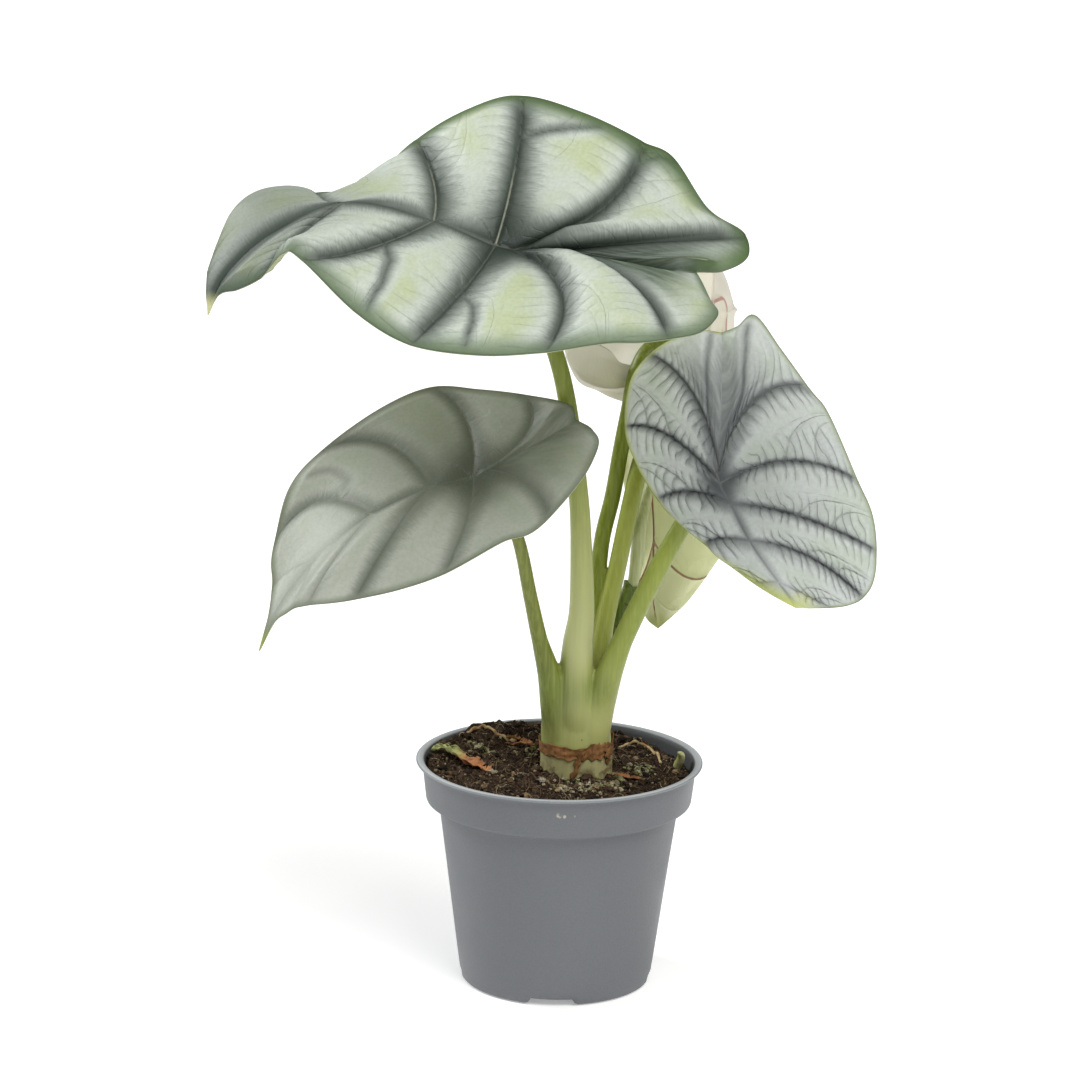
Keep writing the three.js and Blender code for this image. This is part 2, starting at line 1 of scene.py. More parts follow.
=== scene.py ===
# A potted silver dragon alocasia: five quilted leaves on a short stem in a nursery pot.
import math
import random

import bmesh
import bpy
import numpy as np
from mathutils import Matrix, Vector, noise


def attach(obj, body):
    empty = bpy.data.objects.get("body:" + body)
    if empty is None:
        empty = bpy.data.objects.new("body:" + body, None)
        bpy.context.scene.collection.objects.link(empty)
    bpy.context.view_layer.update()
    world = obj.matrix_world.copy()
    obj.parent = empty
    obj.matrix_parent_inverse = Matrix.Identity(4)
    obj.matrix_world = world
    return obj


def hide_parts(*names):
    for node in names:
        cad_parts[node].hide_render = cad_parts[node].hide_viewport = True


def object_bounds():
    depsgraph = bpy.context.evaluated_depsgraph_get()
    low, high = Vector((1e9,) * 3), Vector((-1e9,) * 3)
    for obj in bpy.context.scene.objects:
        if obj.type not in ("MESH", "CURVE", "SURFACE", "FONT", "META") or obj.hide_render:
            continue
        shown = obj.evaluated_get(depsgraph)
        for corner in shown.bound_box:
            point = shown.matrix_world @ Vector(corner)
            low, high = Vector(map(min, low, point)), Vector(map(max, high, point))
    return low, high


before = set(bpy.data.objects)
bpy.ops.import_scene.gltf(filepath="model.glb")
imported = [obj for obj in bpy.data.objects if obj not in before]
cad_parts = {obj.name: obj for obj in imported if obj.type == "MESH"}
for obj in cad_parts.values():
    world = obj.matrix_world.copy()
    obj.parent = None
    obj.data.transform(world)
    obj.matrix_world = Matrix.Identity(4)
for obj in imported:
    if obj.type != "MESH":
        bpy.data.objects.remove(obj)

cad_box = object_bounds()
MM = 0.001

# Camera: millimetres from the middle of the pot's foot, angles in degrees
CAMERA_REACH = 1700
CAMERA_RISE = 16.95
CAMERA_DOWN = 13.87
CAMERA_ROLL = 1.05
FRAME_SIDE = 1080
PIXELS_A_MM = 2.383
SIDEWAYS = 24.4
SENSOR = 36

# Light: lamps as (name, height, turn to the right, strength, softness, colour), angles in degrees
SKY = 0.36
GLOW = 0.29
LAMPS = [
    ("key", 52, 35, 1.9, 40, (1, 0.99, 0.97)),
    ("edge", 36, -112, 1.6, 22, (0.98, 0.99, 1)),
]
# The lamps light a flat white sheet brighter than paper white, so each tone is darkened by this share
TONE_LEVEL = 0.86

# Pot
POT_HEIGHT = 95
WALL = 1.2
FLOOR_UNDER = 2.8
FLOOR_TOP = 4.2
NOTCHES = 4
NOTCH_WIDTH = 19
NOTCH_HEIGHT = 2.6
NOTCH_TURN = -2
NOTCH_EDGE = 0.8
DRAIN_HOLES = 8
DRAIN_RADIUS = 3.2
DRAIN_RING = 24
POT_SIDES = 176
# The outside from the middle of the floor to the lip, then the inside back to the floor, as (radius, height)
POT_OUTSIDE = [
    (9, 0), (9.6, FLOOR_UNDER), (35.4, FLOOR_UNDER), (36.0, 1.6), (36.4, 0.3), (36.8, 0), (39.0, 0),
    (39.6, 0.25), (40.1, 0.9), (40.6, 4), (42.0, 14), (44.1, 30), (47.0, 52), (49.6, 71), (50.2, 75.2),
    (50.45, 76.4), (51.1, 77.05), (53.6, 77.35), (54.9, 77.6), (55.45, 78.0), (55.7, 78.7), (56.1, 82),
    (57.2, 91.6), (57.45, 93.0), (57.9, 93.6), (59.2, 93.85), (59.8, 94.0), (60.0, 94.3), (60.0, 94.65),
    (59.8, 94.9), (59.4, 95), (57.9, 95), (57.2, 94.9), (56.6, 94.4),
]
POT_INSIDE = [
    (57.4, 92), (56.9, 88), (55.9, 80.2), (55.5, 79.2), (54.2, 78.7), (51.5, 78.4), (50.9, 78.0),
    (50.4, 76.4), (40.5, FLOOR_TOP),
]
# Pale scuffs on the band, as (right, back, up, reach)
SCUFFS = [(0.4, -56.9, 87.9, 1.5), (2.6, -56.9, 87.5, 1.0), (6.4, -56.5, 87.6, 0.9)]

# Soil
SOIL_TOP = 89.8
SOIL_RADIUS = 55.2
SOIL_SIDES = 264
SOIL_RINGS = 74
CRUMBS = 4300
FIBRES = 520
# The spot round which the trunk stands, and how far the crumbs keep away from it
TRUNK = (7, 3)
TRUNK_REACH = 14.6
# Heaps of soil as (right, back, reach, height)
HEAPS = [
    (-34, 42, 14, 3.0), (-52, 20, 9, 2.2), (-24, 46, 14, 2.4), (7, -13, 9, 1.6), (26, 12, 10, 1.0),
    (30, 42, 12, 1.4),
]

# Leaves
BLADE = 0.75
RIB_DEPTH = 1.2
SWELL_REACH = 22
NARROW = 12
LAST_PLACE = 6
SIDE_VEINS = 5

# Stalks: the axis as (right, back, up, radius) points, a fuller foot in place of the first two of them, and
# the tones high up and low down
STALKS = {
    "petiole_top": {
        "tones": ((120, 132, 36), (196, 198, 146)),
        "foot": [(7, -2, 104, 8.5), (6.6, -4, 118, 8.2), (6.3, -5, 134, 7.2), (6.7, -5.5, 147, 6.3)],
        "axis": [
            (7, -4, 122, 6.2), (7, -5, 137, 6.2), (8, -6, 160, 5.4), (7, -6, 193, 4.4), (6, -5, 207, 4.2),
            (0, -4, 250, 3.7), (-5, -4, 269, 3.5), (-15, -5, 292, 3.2), (-23, -5, 309, 3.4),
            (-25, -5, 314, 3.4),
        ],
    },
    "petiole_right": {
        "tones": ((138, 152, 62), (140, 152, 58)),
        "foot": [(12, -2, 104, 8.5), (16, -4, 120, 6.8), (20.5, -7, 136, 5.4)],
        "axis": [
            (16, -5, 122, 4.4), (21, -7, 137, 4.6), (25, -9, 149, 4.4), (32, -12, 166, 4.2),
            (38, -13, 179, 4.1), (48, -11, 198, 3.9), (55, -13, 210, 3.8), (60, -18, 216, 3.8),
            (63, -23.5, 220, 3.8), (64, -26, 221, 3.8),
        ],
    },
    "petiole_left": {
        "tones": ((112, 120, 44), (106, 116, 34)),
        "foot": [(2, -1, 102, 8.5), (-2, -4, 118, 6.4), (-5, -7.5, 134, 4.9)],
        "axis": [
            (1, -3, 116, 4.2), (-3, -6, 131, 4), (-9, -11, 149, 3.4), (-13, -16, 168, 3),
            (-19, -22, 196, 2.7), (-26, -25, 211, 2.6), (-34, -24, 219, 2.7), (-38, -23, 223, 2.7),
        ],
    },
    "petiole_lower_back": {
        "tones": ((142, 152, 56), (160, 168, 74)),
        "foot": [(12, 4, 108, 7), (14, 3, 124, 5.2), (16, 3, 138, 4.4)],
        "axis": [
            (14, 2, 125, 4.2), (16, 3, 139, 4), (18, 4, 153, 3.8), (23, 7, 179, 3.8), (27, 10, 200, 3.8),
            (30, 14, 214, 3.8), (32, 19, 221, 3.7), (34, 27, 223, 3.6), (36, 34, 222, 3.5),
            (37, 39, 221, 3.5),
        ],
    },
    "petiole_upper_back": {
        "tones": ((108, 122, 18), (118, 132, 28)),
        "foot": [(9, 7, 108, 7), (11, 8, 126, 5), (12, 8, 143, 4)],
        "axis": [
            (11, 8, 127, 3.8), (12, 8, 144, 3.6), (14, 9, 162, 3.5), (16, 12, 187, 3.4), (20, 15, 205, 3.4),
            (23, 18, 224, 3.4), (26, 21, 240, 3.5), (29, 25, 255, 3.7), (33, 30, 262, 4.1),
            (38, 36, 265, 4.3), (43, 41, 266, 4.2), (47, 45, 267, 4.2),
        ],
    },
}
# The trunk that the stalks grow out of
CORE = [
    (7, 3, 62, 9), (7, 3, 70, 12.5), (7, 3, 84, 15.2), (7, 3, 98, 15.1), (6.5, 3, 109, 14.4),
    (7, 2, 118, 12.8), (7.5, 2, 126, 10), (8, 2, 132, 6),
]
# The trunk's tones: painted shade on its left side, painted light on its right side, then paler low down and
# at the foot
STEM_SHADED_LEFT = (92, 104, 34)
STEM_LIT_RIGHT = (192, 194, 124)
STEM_LOW = (168, 172, 102)
STEM_FOOT = (186, 180, 132)
# Greener patches where two stalks part, as (right, back, up, reach)
GREEN_SPOTS = [(-4, -11, 128, 9), (14, -10, 128, 8)]
PATCH_TONE = (112, 130, 44)
STEM_STEP = 0.62
SMOOTH_TURNS = 10
# How far below the middle of the blade a stalk ends, how near its joint that counts, and how it widens there
END_DEPTH = 0.8
END_REACH = 16
END_SWELL = 0.22
END_SHARE = 0.93

NEW_LEAF_SHEATH = [
    (18, 9, 132, 2.8), (21, 10, 145, 3.2), (25, 12, 156, 3.9), (29, 13, 165, 4.3), (29.5, 13, 167, 3.4),
]
NEW_LEAF_ROLL = [
    (26.5, 12.5, 160, 1.6), (29, 13, 167, 2.4), (31, 14, 180, 3.3), (32, 15, 191, 3.2), (34, 19, 202, 2.8),
    (36, 22, 210, 1.6), (37, 24, 216, 0.6),
]

# Roots and a sprout as (right, back, above the soil, radius)
ROOTS = {
    "root_strand_left": [
        (-45, 29, 0.3, 0.5), (-38, 36, 0.5, 0.7), (-29, 35, 0.4, 0.7), (-22, 30, 0.3, 0.6), (-17, 29, 0, 0.5),
    ],
    "root_strand_right": [
        (25, 31, 0, 0.5), (31, 34, 0.4, 0.6), (37, 31, 0.5, 0.6), (41, 23, 0.4, 0.6), (43, 14, 0, 0.5),
    ],
}
SPROUT = [
    (49, 12, -3, 1.6), (50, 10, 1.5, 1.8), (51, 8, 4.5, 1.8), (51.2, 6, 7, 1.5), (50.5, 4.5, 9, 1.0),
    (49.8, 4, 10, 0.35),
]
# Blender's noise vectors follow the clock until this seed is set
CRUMPLE_SEED = 7
# The withered leaf and the dry scraps as (right, back, above the soil, half width, curl of the sides)
WITHERED = [
    (-54, 14, 1.5, 1.6, 2.9), (-51, 12, 2.3, 2.3, 2.9), (-47, 8.5, 2.6, 2.4, 2.7), (-43, 5, 2.2, 2.8, 2.0),
    (-39, 1, 1.5, 4.0, 1.0), (-35, -4, 1.3, 4.2, 0.8), (-31, -8, 1, 2.8, 0.9), (-28, -10, 0.6, 1, 0.6),
]
DRY_SHEATH = [(23, -2, 0.9, 1.4, 0.7), (27, -5, 1.2, 2.4, 0.8), (31, -7, 1, 2, 0.8), (35, -8, 0.5, 0.8, 0.6)]
SHREDS = [
    [(-11, 27, 1.2, 1.2, 0.8), (-17, 30, 1.8, 2.6, 0.9), (-23, 32, 1.6, 2.4, 1.2), (-28, 35, 0.8, 0.8, 0.8)],
    [(-9, 22, 1.5, 1.0, 0.8), (-15, 24, 1.8, 2.0, 1.0), (-21, 27, 1.2, 1.4, 0.9), (-25, 28, 0.6, 0.6, 0.8)],
]

# The collar round the trunk, and its hanging strips as (start, lean, half width, drop), angles in radians
COLLAR = (6.8, 3)
COLLAR_SHAPE = (190, 16)
COLLAR_RADIUS = 15.35
COLLAR_STRIPS = [(-1.42, -0.22, 0.1, 12), (-0.62, 0.1, 0.13, 7.5)]

# Leaves: the joint on the stalk, then offsets from it as (vein, right, back, up). Vein 0 is the notch
# between the lobes, 1 the vein into each lobe, 2 and up the side veins, and the last one the tip.
LEAVES = {
    "leaf_top": {
        "at": (-24, -5, 311), "notch": (76, 13, -10), "tip": (-121, -17, -26),
        "rib": [
            (0.5, 39, 6, -7), (1, 6, 1, -1), (2, 0, 0, 0), (3, -6, -1, 2), (4, -31, -2, 12), (5, -67, -7, 20),
            (5.5, -96, -11, 7), (5.8, -117, -15, -14),
        ],
        "front_vein": [
            (0.5, 59, -3, -11), (1, 44, -17, -6), (2, 21, -27, -12), (3, -19, -27, -13), (4, -58, -17, 2),
            (5, -84, -15, 7), (5.5, -103, -15, -4), (5.8, -117, -16, -16),
        ],
        "front_edge": [
            (0.25, 78, 1, -12), (0.5, 81, -13, -17), (0.75, 83, -31, -21), (0.88, 76, -41, -25),
            (1, 64, -49, -26), (1.5, 39, -57, -27), (2, 15, -61, -30), (2.5, -10, -61, -32),
            (3, -38, -56, -29), (3.5, -60, -45, -19), (4, -83, -31, 0), (4.5, -90, -28, 1), (5, -99, -25, -9),
            (5.5, -109, -22, -15), (5.8, -117, -19, -18),
        ],
        "back_vein": [
            (0.5, 65, 13, -6), (1, 53, 12, 2), (2, 36, 19, 14), (3, 1, 25, 30), (4, -32, 20, 24),
            (5, -74, 7, 16), (5.5, -104, -1, 9), (5.8, -120, -11, -13),
        ],
        "back_edge": [
            (0.4, 87, 21, -11), (0.8, 98, 31, -5), (1, 97, 37, 1), (1.4, 80, 43, 12), (1.7, 66, 46, 32),
            (2, 54, 47, 38), (2.5, 29, 50, 49), (3, 3, 50, 56), (3.5, -19, 48, 50), (4, -40, 43, 38),
            (4.5, -62, 37, 18), (5, -81, 30, 17), (5.25, -99, 21, 16), (5.5, -112, 11, 8),
            (5.65, -118, 2, -3), (5.8, -122, -6, -13),
        ],
    },
    "leaf_left": {
        "at": (-37, -24, 221), "notch": (41, 7, 23), "tip": (-85, -26, -68),
        "rib": [
            (0.5, 23, 3, 12), (1, 5, 0, 3), (2, 0, 0, 0), (3, -17, -4, -4), (4, -41, -11, -14),
            (5, -64, -18, -32), (5.6, -80, -22, -55),
        ],
        "front_vein": [
            (0.5, 33, 2, 14), (1, 22, -8, -1), (2, -2, -16, -13), (3, -31, -22, -18), (4, -55, -26, -30),
            (5, -68, -23, -42), (5.6, -79, -23, -56),
        ],
        "front_edge": [
            (0.3, 48, 1, 20), (0.6, 50, -3, 13), (0.8, 44, -14, 3), (1, 31, -24, -11), (1.5, 12, -31, -20),
            (2, -10, -35, -32), (2.5, -28, -35, -39), (3, -46, -33, -44), (4, -66, -29, -48),
            (5, -74, -26, -52), (5.6, -80, -24, -58),
        ],
        "back_vein": [
            (0.5, 33, 8, 23), (1, 22, 11, 17), (2, -4, 24, 18), (3, -37, 20, 8), (4, -63, 8, -14),
            (5, -73, -11, -38), (5.6, -81, -21, -55),
        ],
        "back_edge": [
            (0.4, 39, 10, 28), (1, 20, 21, 30), (1.5, 1, 30, 30), (2, -19, 37, 29), (2.5, -40, 34, 20),
            (3, -63, 26, 4), (3.5, -76, 16, -10), (4, -81, 2, -29), (5, -81, -12, -45), (5.6, -82, -20, -56),
        ],
    },
    "leaf_right": {
        "at": (63, -24, 220), "notch": (0, 28, 57), "tip": (32, -9, -49),
        "rib": [
            (0.5, 0, 13, 30), (1, -1, 3, 5), (2, 0, 0, 0), (3, 4, -4, -7), (4, 12, -10, -21),
            (5, 24, -14, -37), (5.6, 29, -13, -44),
        ],
        "front_vein": [
            (0.5, 7, 16, 38), (1, 13, 12, 32), (2, 28, 4, 9), (3, 33, -6, -12), (4, 36, -11, -27),
            (5, 34, -13, -42), (5.6, 33, -13, -46),
        ],
        "front_edge": [
            (0.3, 7, 28, 60), (0.5, 13, 26, 65), (0.75, 24, 21, 52), (1, 35, 16, 38), (1.5, 44, 11, 27),
            (2, 56, 2, 2), (2.5, 62, -3, -11), (3, 64, -7, -25), (3.5, 63, -9, -37), (4, 59, -10, -44),
            (4.5, 53, -11, -47), (5, 46, -12, -48), (5.6, 38, -12, -48),
        ],
        "back_vein": [
            (0.5, -6, 22, 45), (1, -11, 20, 32), (2, -21, 16, 16), (3, -12, 6, -5), (4, 0, -4, -22),
            (5, 19, -11, -38), (5.6, 27, -12, -44),
        ],
        "back_edge": [
            (0.3, -9, 31, 57), (0.6, -20, 32, 53), (1, -29, 31, 47), (1.5, -37, 28, 36), (2, -39, 22, 18),
            (2.5, -34, 17, 4), (3, -25, 12, -10), (3.5, -15, 6, -19), (4, -5, 1, -26), (5, 14, -8, -39),
            (5.6, 25, -11, -45),
        ],
    },
    "leaf_upper_back": {
        "at": (46, 43, 266), "notch": (-16, -7, -10), "tip": (17, 15, -29),
        "rib": [
            (0.5, -9, -4, -6), (1, -3, -1, -2), (2, 0, 0, 0), (3, 7, 6, 6), (4, 14, 14, 13),
            (4.5, 18, 20, 14), (5, 20, 24, 8), (5.5, 20, 23, -9),
        ],
        "front_vein": [
            (0.5, -21, -13, -11), (1, -22, -14, -17), (1.5, -15, -11, -16), (2, -9, -9, -16), (3, 3, -3, -14),
            (4, 9, 7, -10), (5, 13, 15, -15), (5.5, 13, 15, -23),
        ],
        "front_edge": [
            (0.3, -24, -15, -7), (0.6, -31, -18, 0), (0.75, -41, -18, 4), (0.88, -47, -16, -2),
            (1, -44, -14, -11), (1.4, -32, -9, -21), (2, -18, -4, -27), (2.5, -13, -2, -29), (3, -8, -1, -30),
            (4, -1, 3, -31), (5, 5, 7, -31), (5.5, 9, 10, -30),
        ],
        "back_vein": [
            (0.5, -21, 5, -7), (1, -25, 15, 0), (2, -13, 24, 13), (3, 1, 39, 23), (4, 15, 41, 24),
            (5, 24, 35, 7), (5.5, 23, 28, -12),
        ],
        "back_edge": [
            (0.4, -29, 12, -13), (0.8, -42, 23, -8), (1.2, -44, 37, 6), (2, -30, 57, 23), (3, -7, 69, 30),
            (4, 13, 64, 27), (4.5, 21, 57, 18), (5, 25, 45, 4), (5.5, 24, 33, -15),
        ],
    },
    "leaf_lower_back": {
        "at": (36, 36, 222), "notch": (-1, 6, 8), "tip": (5, 6, -81),
        "rib": [
            (0.5, 0, 4, 5), (1, 0, 2, 2), (2, 0, 0, -1), (3, 1, -1, -15), (4, 3, -1, -41), (5, 3, 2, -63),
            (5.6, 4, 5, -75),
        ],
        "front_vein": [
            (0.5, 4, 7, 10), (1, 10, 6, 8), (2, 21, 1, -7), (3, 19, -6, -30), (4, 15, -7, -54),
            (5, 9, 0, -70), (5.6, 6, 5, -78),
        ],
        "front_edge": [
            (0.4, 7, 12, 11.2), (1, 22, 14, 7.5), (1.5, 33, 10, -3), (2, 37, 6, -18), (3, 35, 1, -38),
            (4, 26, 0, -54), (5, 16, 2, -69), (5.6, 8, 5, -78),
        ],
        "back_vein": [
            (0.5, -3, 7, 6), (1, -6, 8, 0), (2, -4, 6, -17), (3, -3, 4, -38), (4, -1, 4, -56), (5, 0, 5, -68),
            (5.6, 2, 5, -77),
        ],
        "back_edge": [
            (0.4, -4, 10, 9), (1, -12, 14, -3), (1.5, -12, 15, -14), (2, -9, 13, -29), (3, -7, 10, -46),
            (4, -5, 8, -63), (5, -2, 7, -72), (5.6, 1, 6, -78),
        ],
    },
}
# Smaller dark veins as (place, share of the way out), negative towards the front
BRANCHES = {
    "leaf_top": [
        [(4.0, -0.35), (3.88, -0.42), (3.66, -0.55), (3.52, -0.75), (3.46, -0.95)],
        [(3.08, -0.42), (2.92, -0.55), (2.78, -0.65), (2.7, -0.78), (2.65, -0.95)],
        [(3.0, 0.7), (2.88, 0.73), (2.68, 0.8), (2.48, 0.87), (2.38, 0.93)],
        [(2.0, 0.88), (1.9, 0.92), (1.82, 0.95), (1.68, 0.98)],
    ],
    "leaf_left": [
        [(0.4, 0.8), (0.76, 0.32), (0.96, 0.07)],
        [(0.28, -0.8), (0.46, -0.23), (0.88, -0.1)],
        [(4.0, 0.3), (3.68, 0.38), (3.52, 0.63), (3.5, 0.83)],
    ],
    "leaf_right": [
        [(0.08, 0.98), (0.3, 0.6), (0.66, 0.35), (1.0, 0.2), (1.3, 0.03)],
        [(0.46, -0.93), (0.54, -0.63), (0.88, -0.25), (1.3, -0.05)],
    ],
    "leaf_upper_back": [],
    "leaf_lower_back": [],
}

# How a leaf looks, with tones as screen values. The pairs quilt, skew and rib_sides are (front, back), and
# sides is how wide a dark band is towards the tip and towards the notch, the wider side partly painted shade.
# silver, blush, dark, fused: cells, their middles, the bands along the veins and the lobes beside the notch
# fused_share, fade, lobe: how dark the fused lobes are, and where that fades out along and across them
# heart, core, gloom, wing: how the dark spreads round the joint and near the tip
# rim, rim_front, margin: the green edge of the two halves and its width at each vein, as (front, back)
# band, veins: how wide the dark bands are, and the veins that differ, as (vein, half)
# deep, calm, spine, spines: how dark main and minor bands are, where it fades, and the painted highlight on a
# vein's ridge
# ladder, fine, wave, puff, crease: spacing, strength and waviness of the small cross veins;
# the puff share is painted shade on one side of each puffed cell
# groove, emboss, relief, quilt, skew: how the surface is shaped
# under, under_vein, lines: the underside and the veins drawn on it
PLAIN_LOOK = {
    "fused_share": 0.5, "fade": (30, 90), "lobe": (0.5, 1.0), "heart": 8, "core": 0.0, "gloom": (40, 0.1),
    "wing": 0.0, "band": (3.0, 1.6), "veins": {}, "sides": (1, 1), "rib_sides": (1, 1), "deep": (0.8, 0.6),
    "calm": 0.0, "vein_highlight": (176, 182, 182), "vein_highlights": {}, "ladder": 4.6, "fine": 0.3, "wave": 0.1, "puff_shade": 0.1,
    "crease": 0.3, "groove": 0.6, "emboss": 0.3, "relief": 0.5, "skew": (1, 1), "roughness": 0.55,
    "under": (206, 212, 168), "under_vein": (150, 84, 62), "lines": (1.0, {}), "turned": False,
}
LOOKS = {
    "leaf_top": {
        "silver": (216, 225, 214), "blush": (204, 216, 172), "dark": (54, 68, 58), "fused": (72, 90, 70),
        "fused_share": 0.97, "fade": (50, 105), "lobe": (0.6, 0.95), "heart": 26, "core": 0.45,
        "gloom": (45, 0.2), "wing": 0.62, "rim": (84, 114, 48), "rim_front": (114, 135, 99),
        "tip": (214, 214, 160),
        "margin": [(2.4, 3.5), (3.8, 6.0), (4.6, 8.0), (4.6, 4.6), (4.0, 3.0), (2.8, 2.2), (2.2, 2.0)],
        "band": (7.2, 5.0), "sides": (0.85, 1.15), "rib_sides": (0.8, 1.1), "deep": (1.0, 0.85),
        "veins": {
            (3, 1): 1.25, (4, 1): 1.1, (2, 1): 1.05, (1, 1): 0.8, (5, 1): 0.5,
            (3, -1): 1.3, (4, -1): 0.9, (2, -1): 0.95, (1, -1): 0.8, (5, -1): 0.3,
        },
        "vein_highlight": (158, 160, 142), "vein_highlights": {(3, 1): 1.0, (4, 1): 0.8}, "ladder": 6.0, "fine": 0.2,
        "crease": 0.25, "groove": 0.9, "emboss": 0.5, "relief": 1.2, "quilt": (5.0, 6.5),
        "skew": (0.95, 0.58), "roughness": 0.5,
    # painted shade: the left leaf's tones are darker than the other leaves' and its gloom reaches far from
    # the joint, for the shade it lies in under the top leaf
    },
    "leaf_left": {
        "silver": (184, 189, 177), "blush": (174, 182, 160), "dark": (80, 88, 72), "fused": (108, 116, 94),
        "fused_share": 0.7, "heart": 24, "core": 0.5, "gloom": (85, 0.5), "calm": 0.75,
        "rim": (118, 126, 100), "rim_front": (134, 142, 120), "tip": (150, 166, 92),
        "margin": [(1.4, 1.6)] * 7, "band": (5.4, 3.2), "sides": (0.95, 1.15), "rib_sides": (0.9, 1.1),
        "deep": (0.85, 0.4), "veins": {(5, 1): 0.3, (5, -1): 0.25, (4, -1): 0.5, (4, 1): 0.8},
        "vein_highlight": (126, 132, 112), "ladder": 7.5, "fine": 0.07, "puff_shade": 0.05, "crease": 0.2, "groove": 0.15,
        "emboss": 0.15, "relief": 0.1, "quilt": (1.6, 1.8), "roughness": 0.5,
    },
    "leaf_right": {
        "silver": (211, 217, 213), "blush": (202, 212, 198), "dark": (74, 80, 82), "fused": (112, 116, 119),
        "fused_share": 0.92, "fade": (30, 78), "lobe": (0.45, 0.95), "heart": 14, "core": 0.35,
        "gloom": (62, 0.36), "calm": 0.45, "rim": (192, 202, 108), "rim_front": (166, 178, 140),
        "tip": (204, 212, 120), "margin": [(0.9, 0.9)] * 4 + [(0.9, 1.6), (0.9, 3.2), (0.9, 3.2)],
        "band": (2.7, 1.5), "veins": {(1, -1): 1.9, (1, 1): 1.4}, "sides": (1.35, 0.6),
        "rib_sides": (1.3, 0.8), "deep": (0.78, 0.5), "vein_highlight": (170, 174, 174), "ladder": 4.0, "fine": 0.36,
        "wave": 0.13, "puff_shade": 0.42, "crease": 0.62, "groove": 0.9, "emboss": 0.8, "relief": 3.8,
        "quilt": (4.2, 4.2), "skew": (0.7, 0.7), "under": (204, 212, 142), "roughness": 0.46,
    },
    "leaf_upper_back": {
        "silver": (188, 194, 190), "blush": (190, 200, 186), "dark": (70, 78, 78), "fused": (132, 140, 142),
        "rim": (72, 88, 62), "rim_front": (72, 88, 62), "tip": (220, 222, 180), "margin": [(1.4, 1.4)] * 7,
        "quilt": (1.2, 1.2), "under": (240, 235, 218), "under_vein": (176, 112, 100), "lines": (0.75, {}),
    },
    "leaf_lower_back": {
        "silver": (150, 160, 150), "blush": (160, 170, 150), "dark": (80, 88, 80), "fused": (132, 140, 132),
        "rim": (150, 164, 110), "rim_front": (150, 164, 110), "tip": (186, 192, 120),
        "margin": [(1.2, 1.2)] * 7, "vein_highlight": (176, 182, 172), "quilt": (1.8, 1.8), "under": (232, 236, 180),
        "under_vein": (134, 74, 46),
        "lines": (1.0, {(place, side): 0.8 for place in (2, 3, 4) for side in (1, -1)}), "turned": True,
    },
}
# Rows a vein and columns a side
GRIDS = {
    "leaf_top": (40, 54), "leaf_left": (34, 46), "leaf_right": (34, 46),
    "leaf_upper_back": (26, 40), "leaf_lower_back": (30, 32),
}


# Paint
def tone(shade, level=1.0):
    """A colour given as it looks on a screen, dimmed to a level."""
    share = [level * part / 255 for part in shade]
    bright = [s / 12.92 if s < 0.04045 else ((s + 0.055) / 1.055) ** 2.4 for s in share]
    return tuple(part * TONE_LEVEL for part in bright) + (1,)


def ease(value, low, high):
    """0 below low, 1 above high and smooth between."""
    share = np.clip((value - low) / (high - low), 0, 1)
    return share * share * (3 - 2 * share)


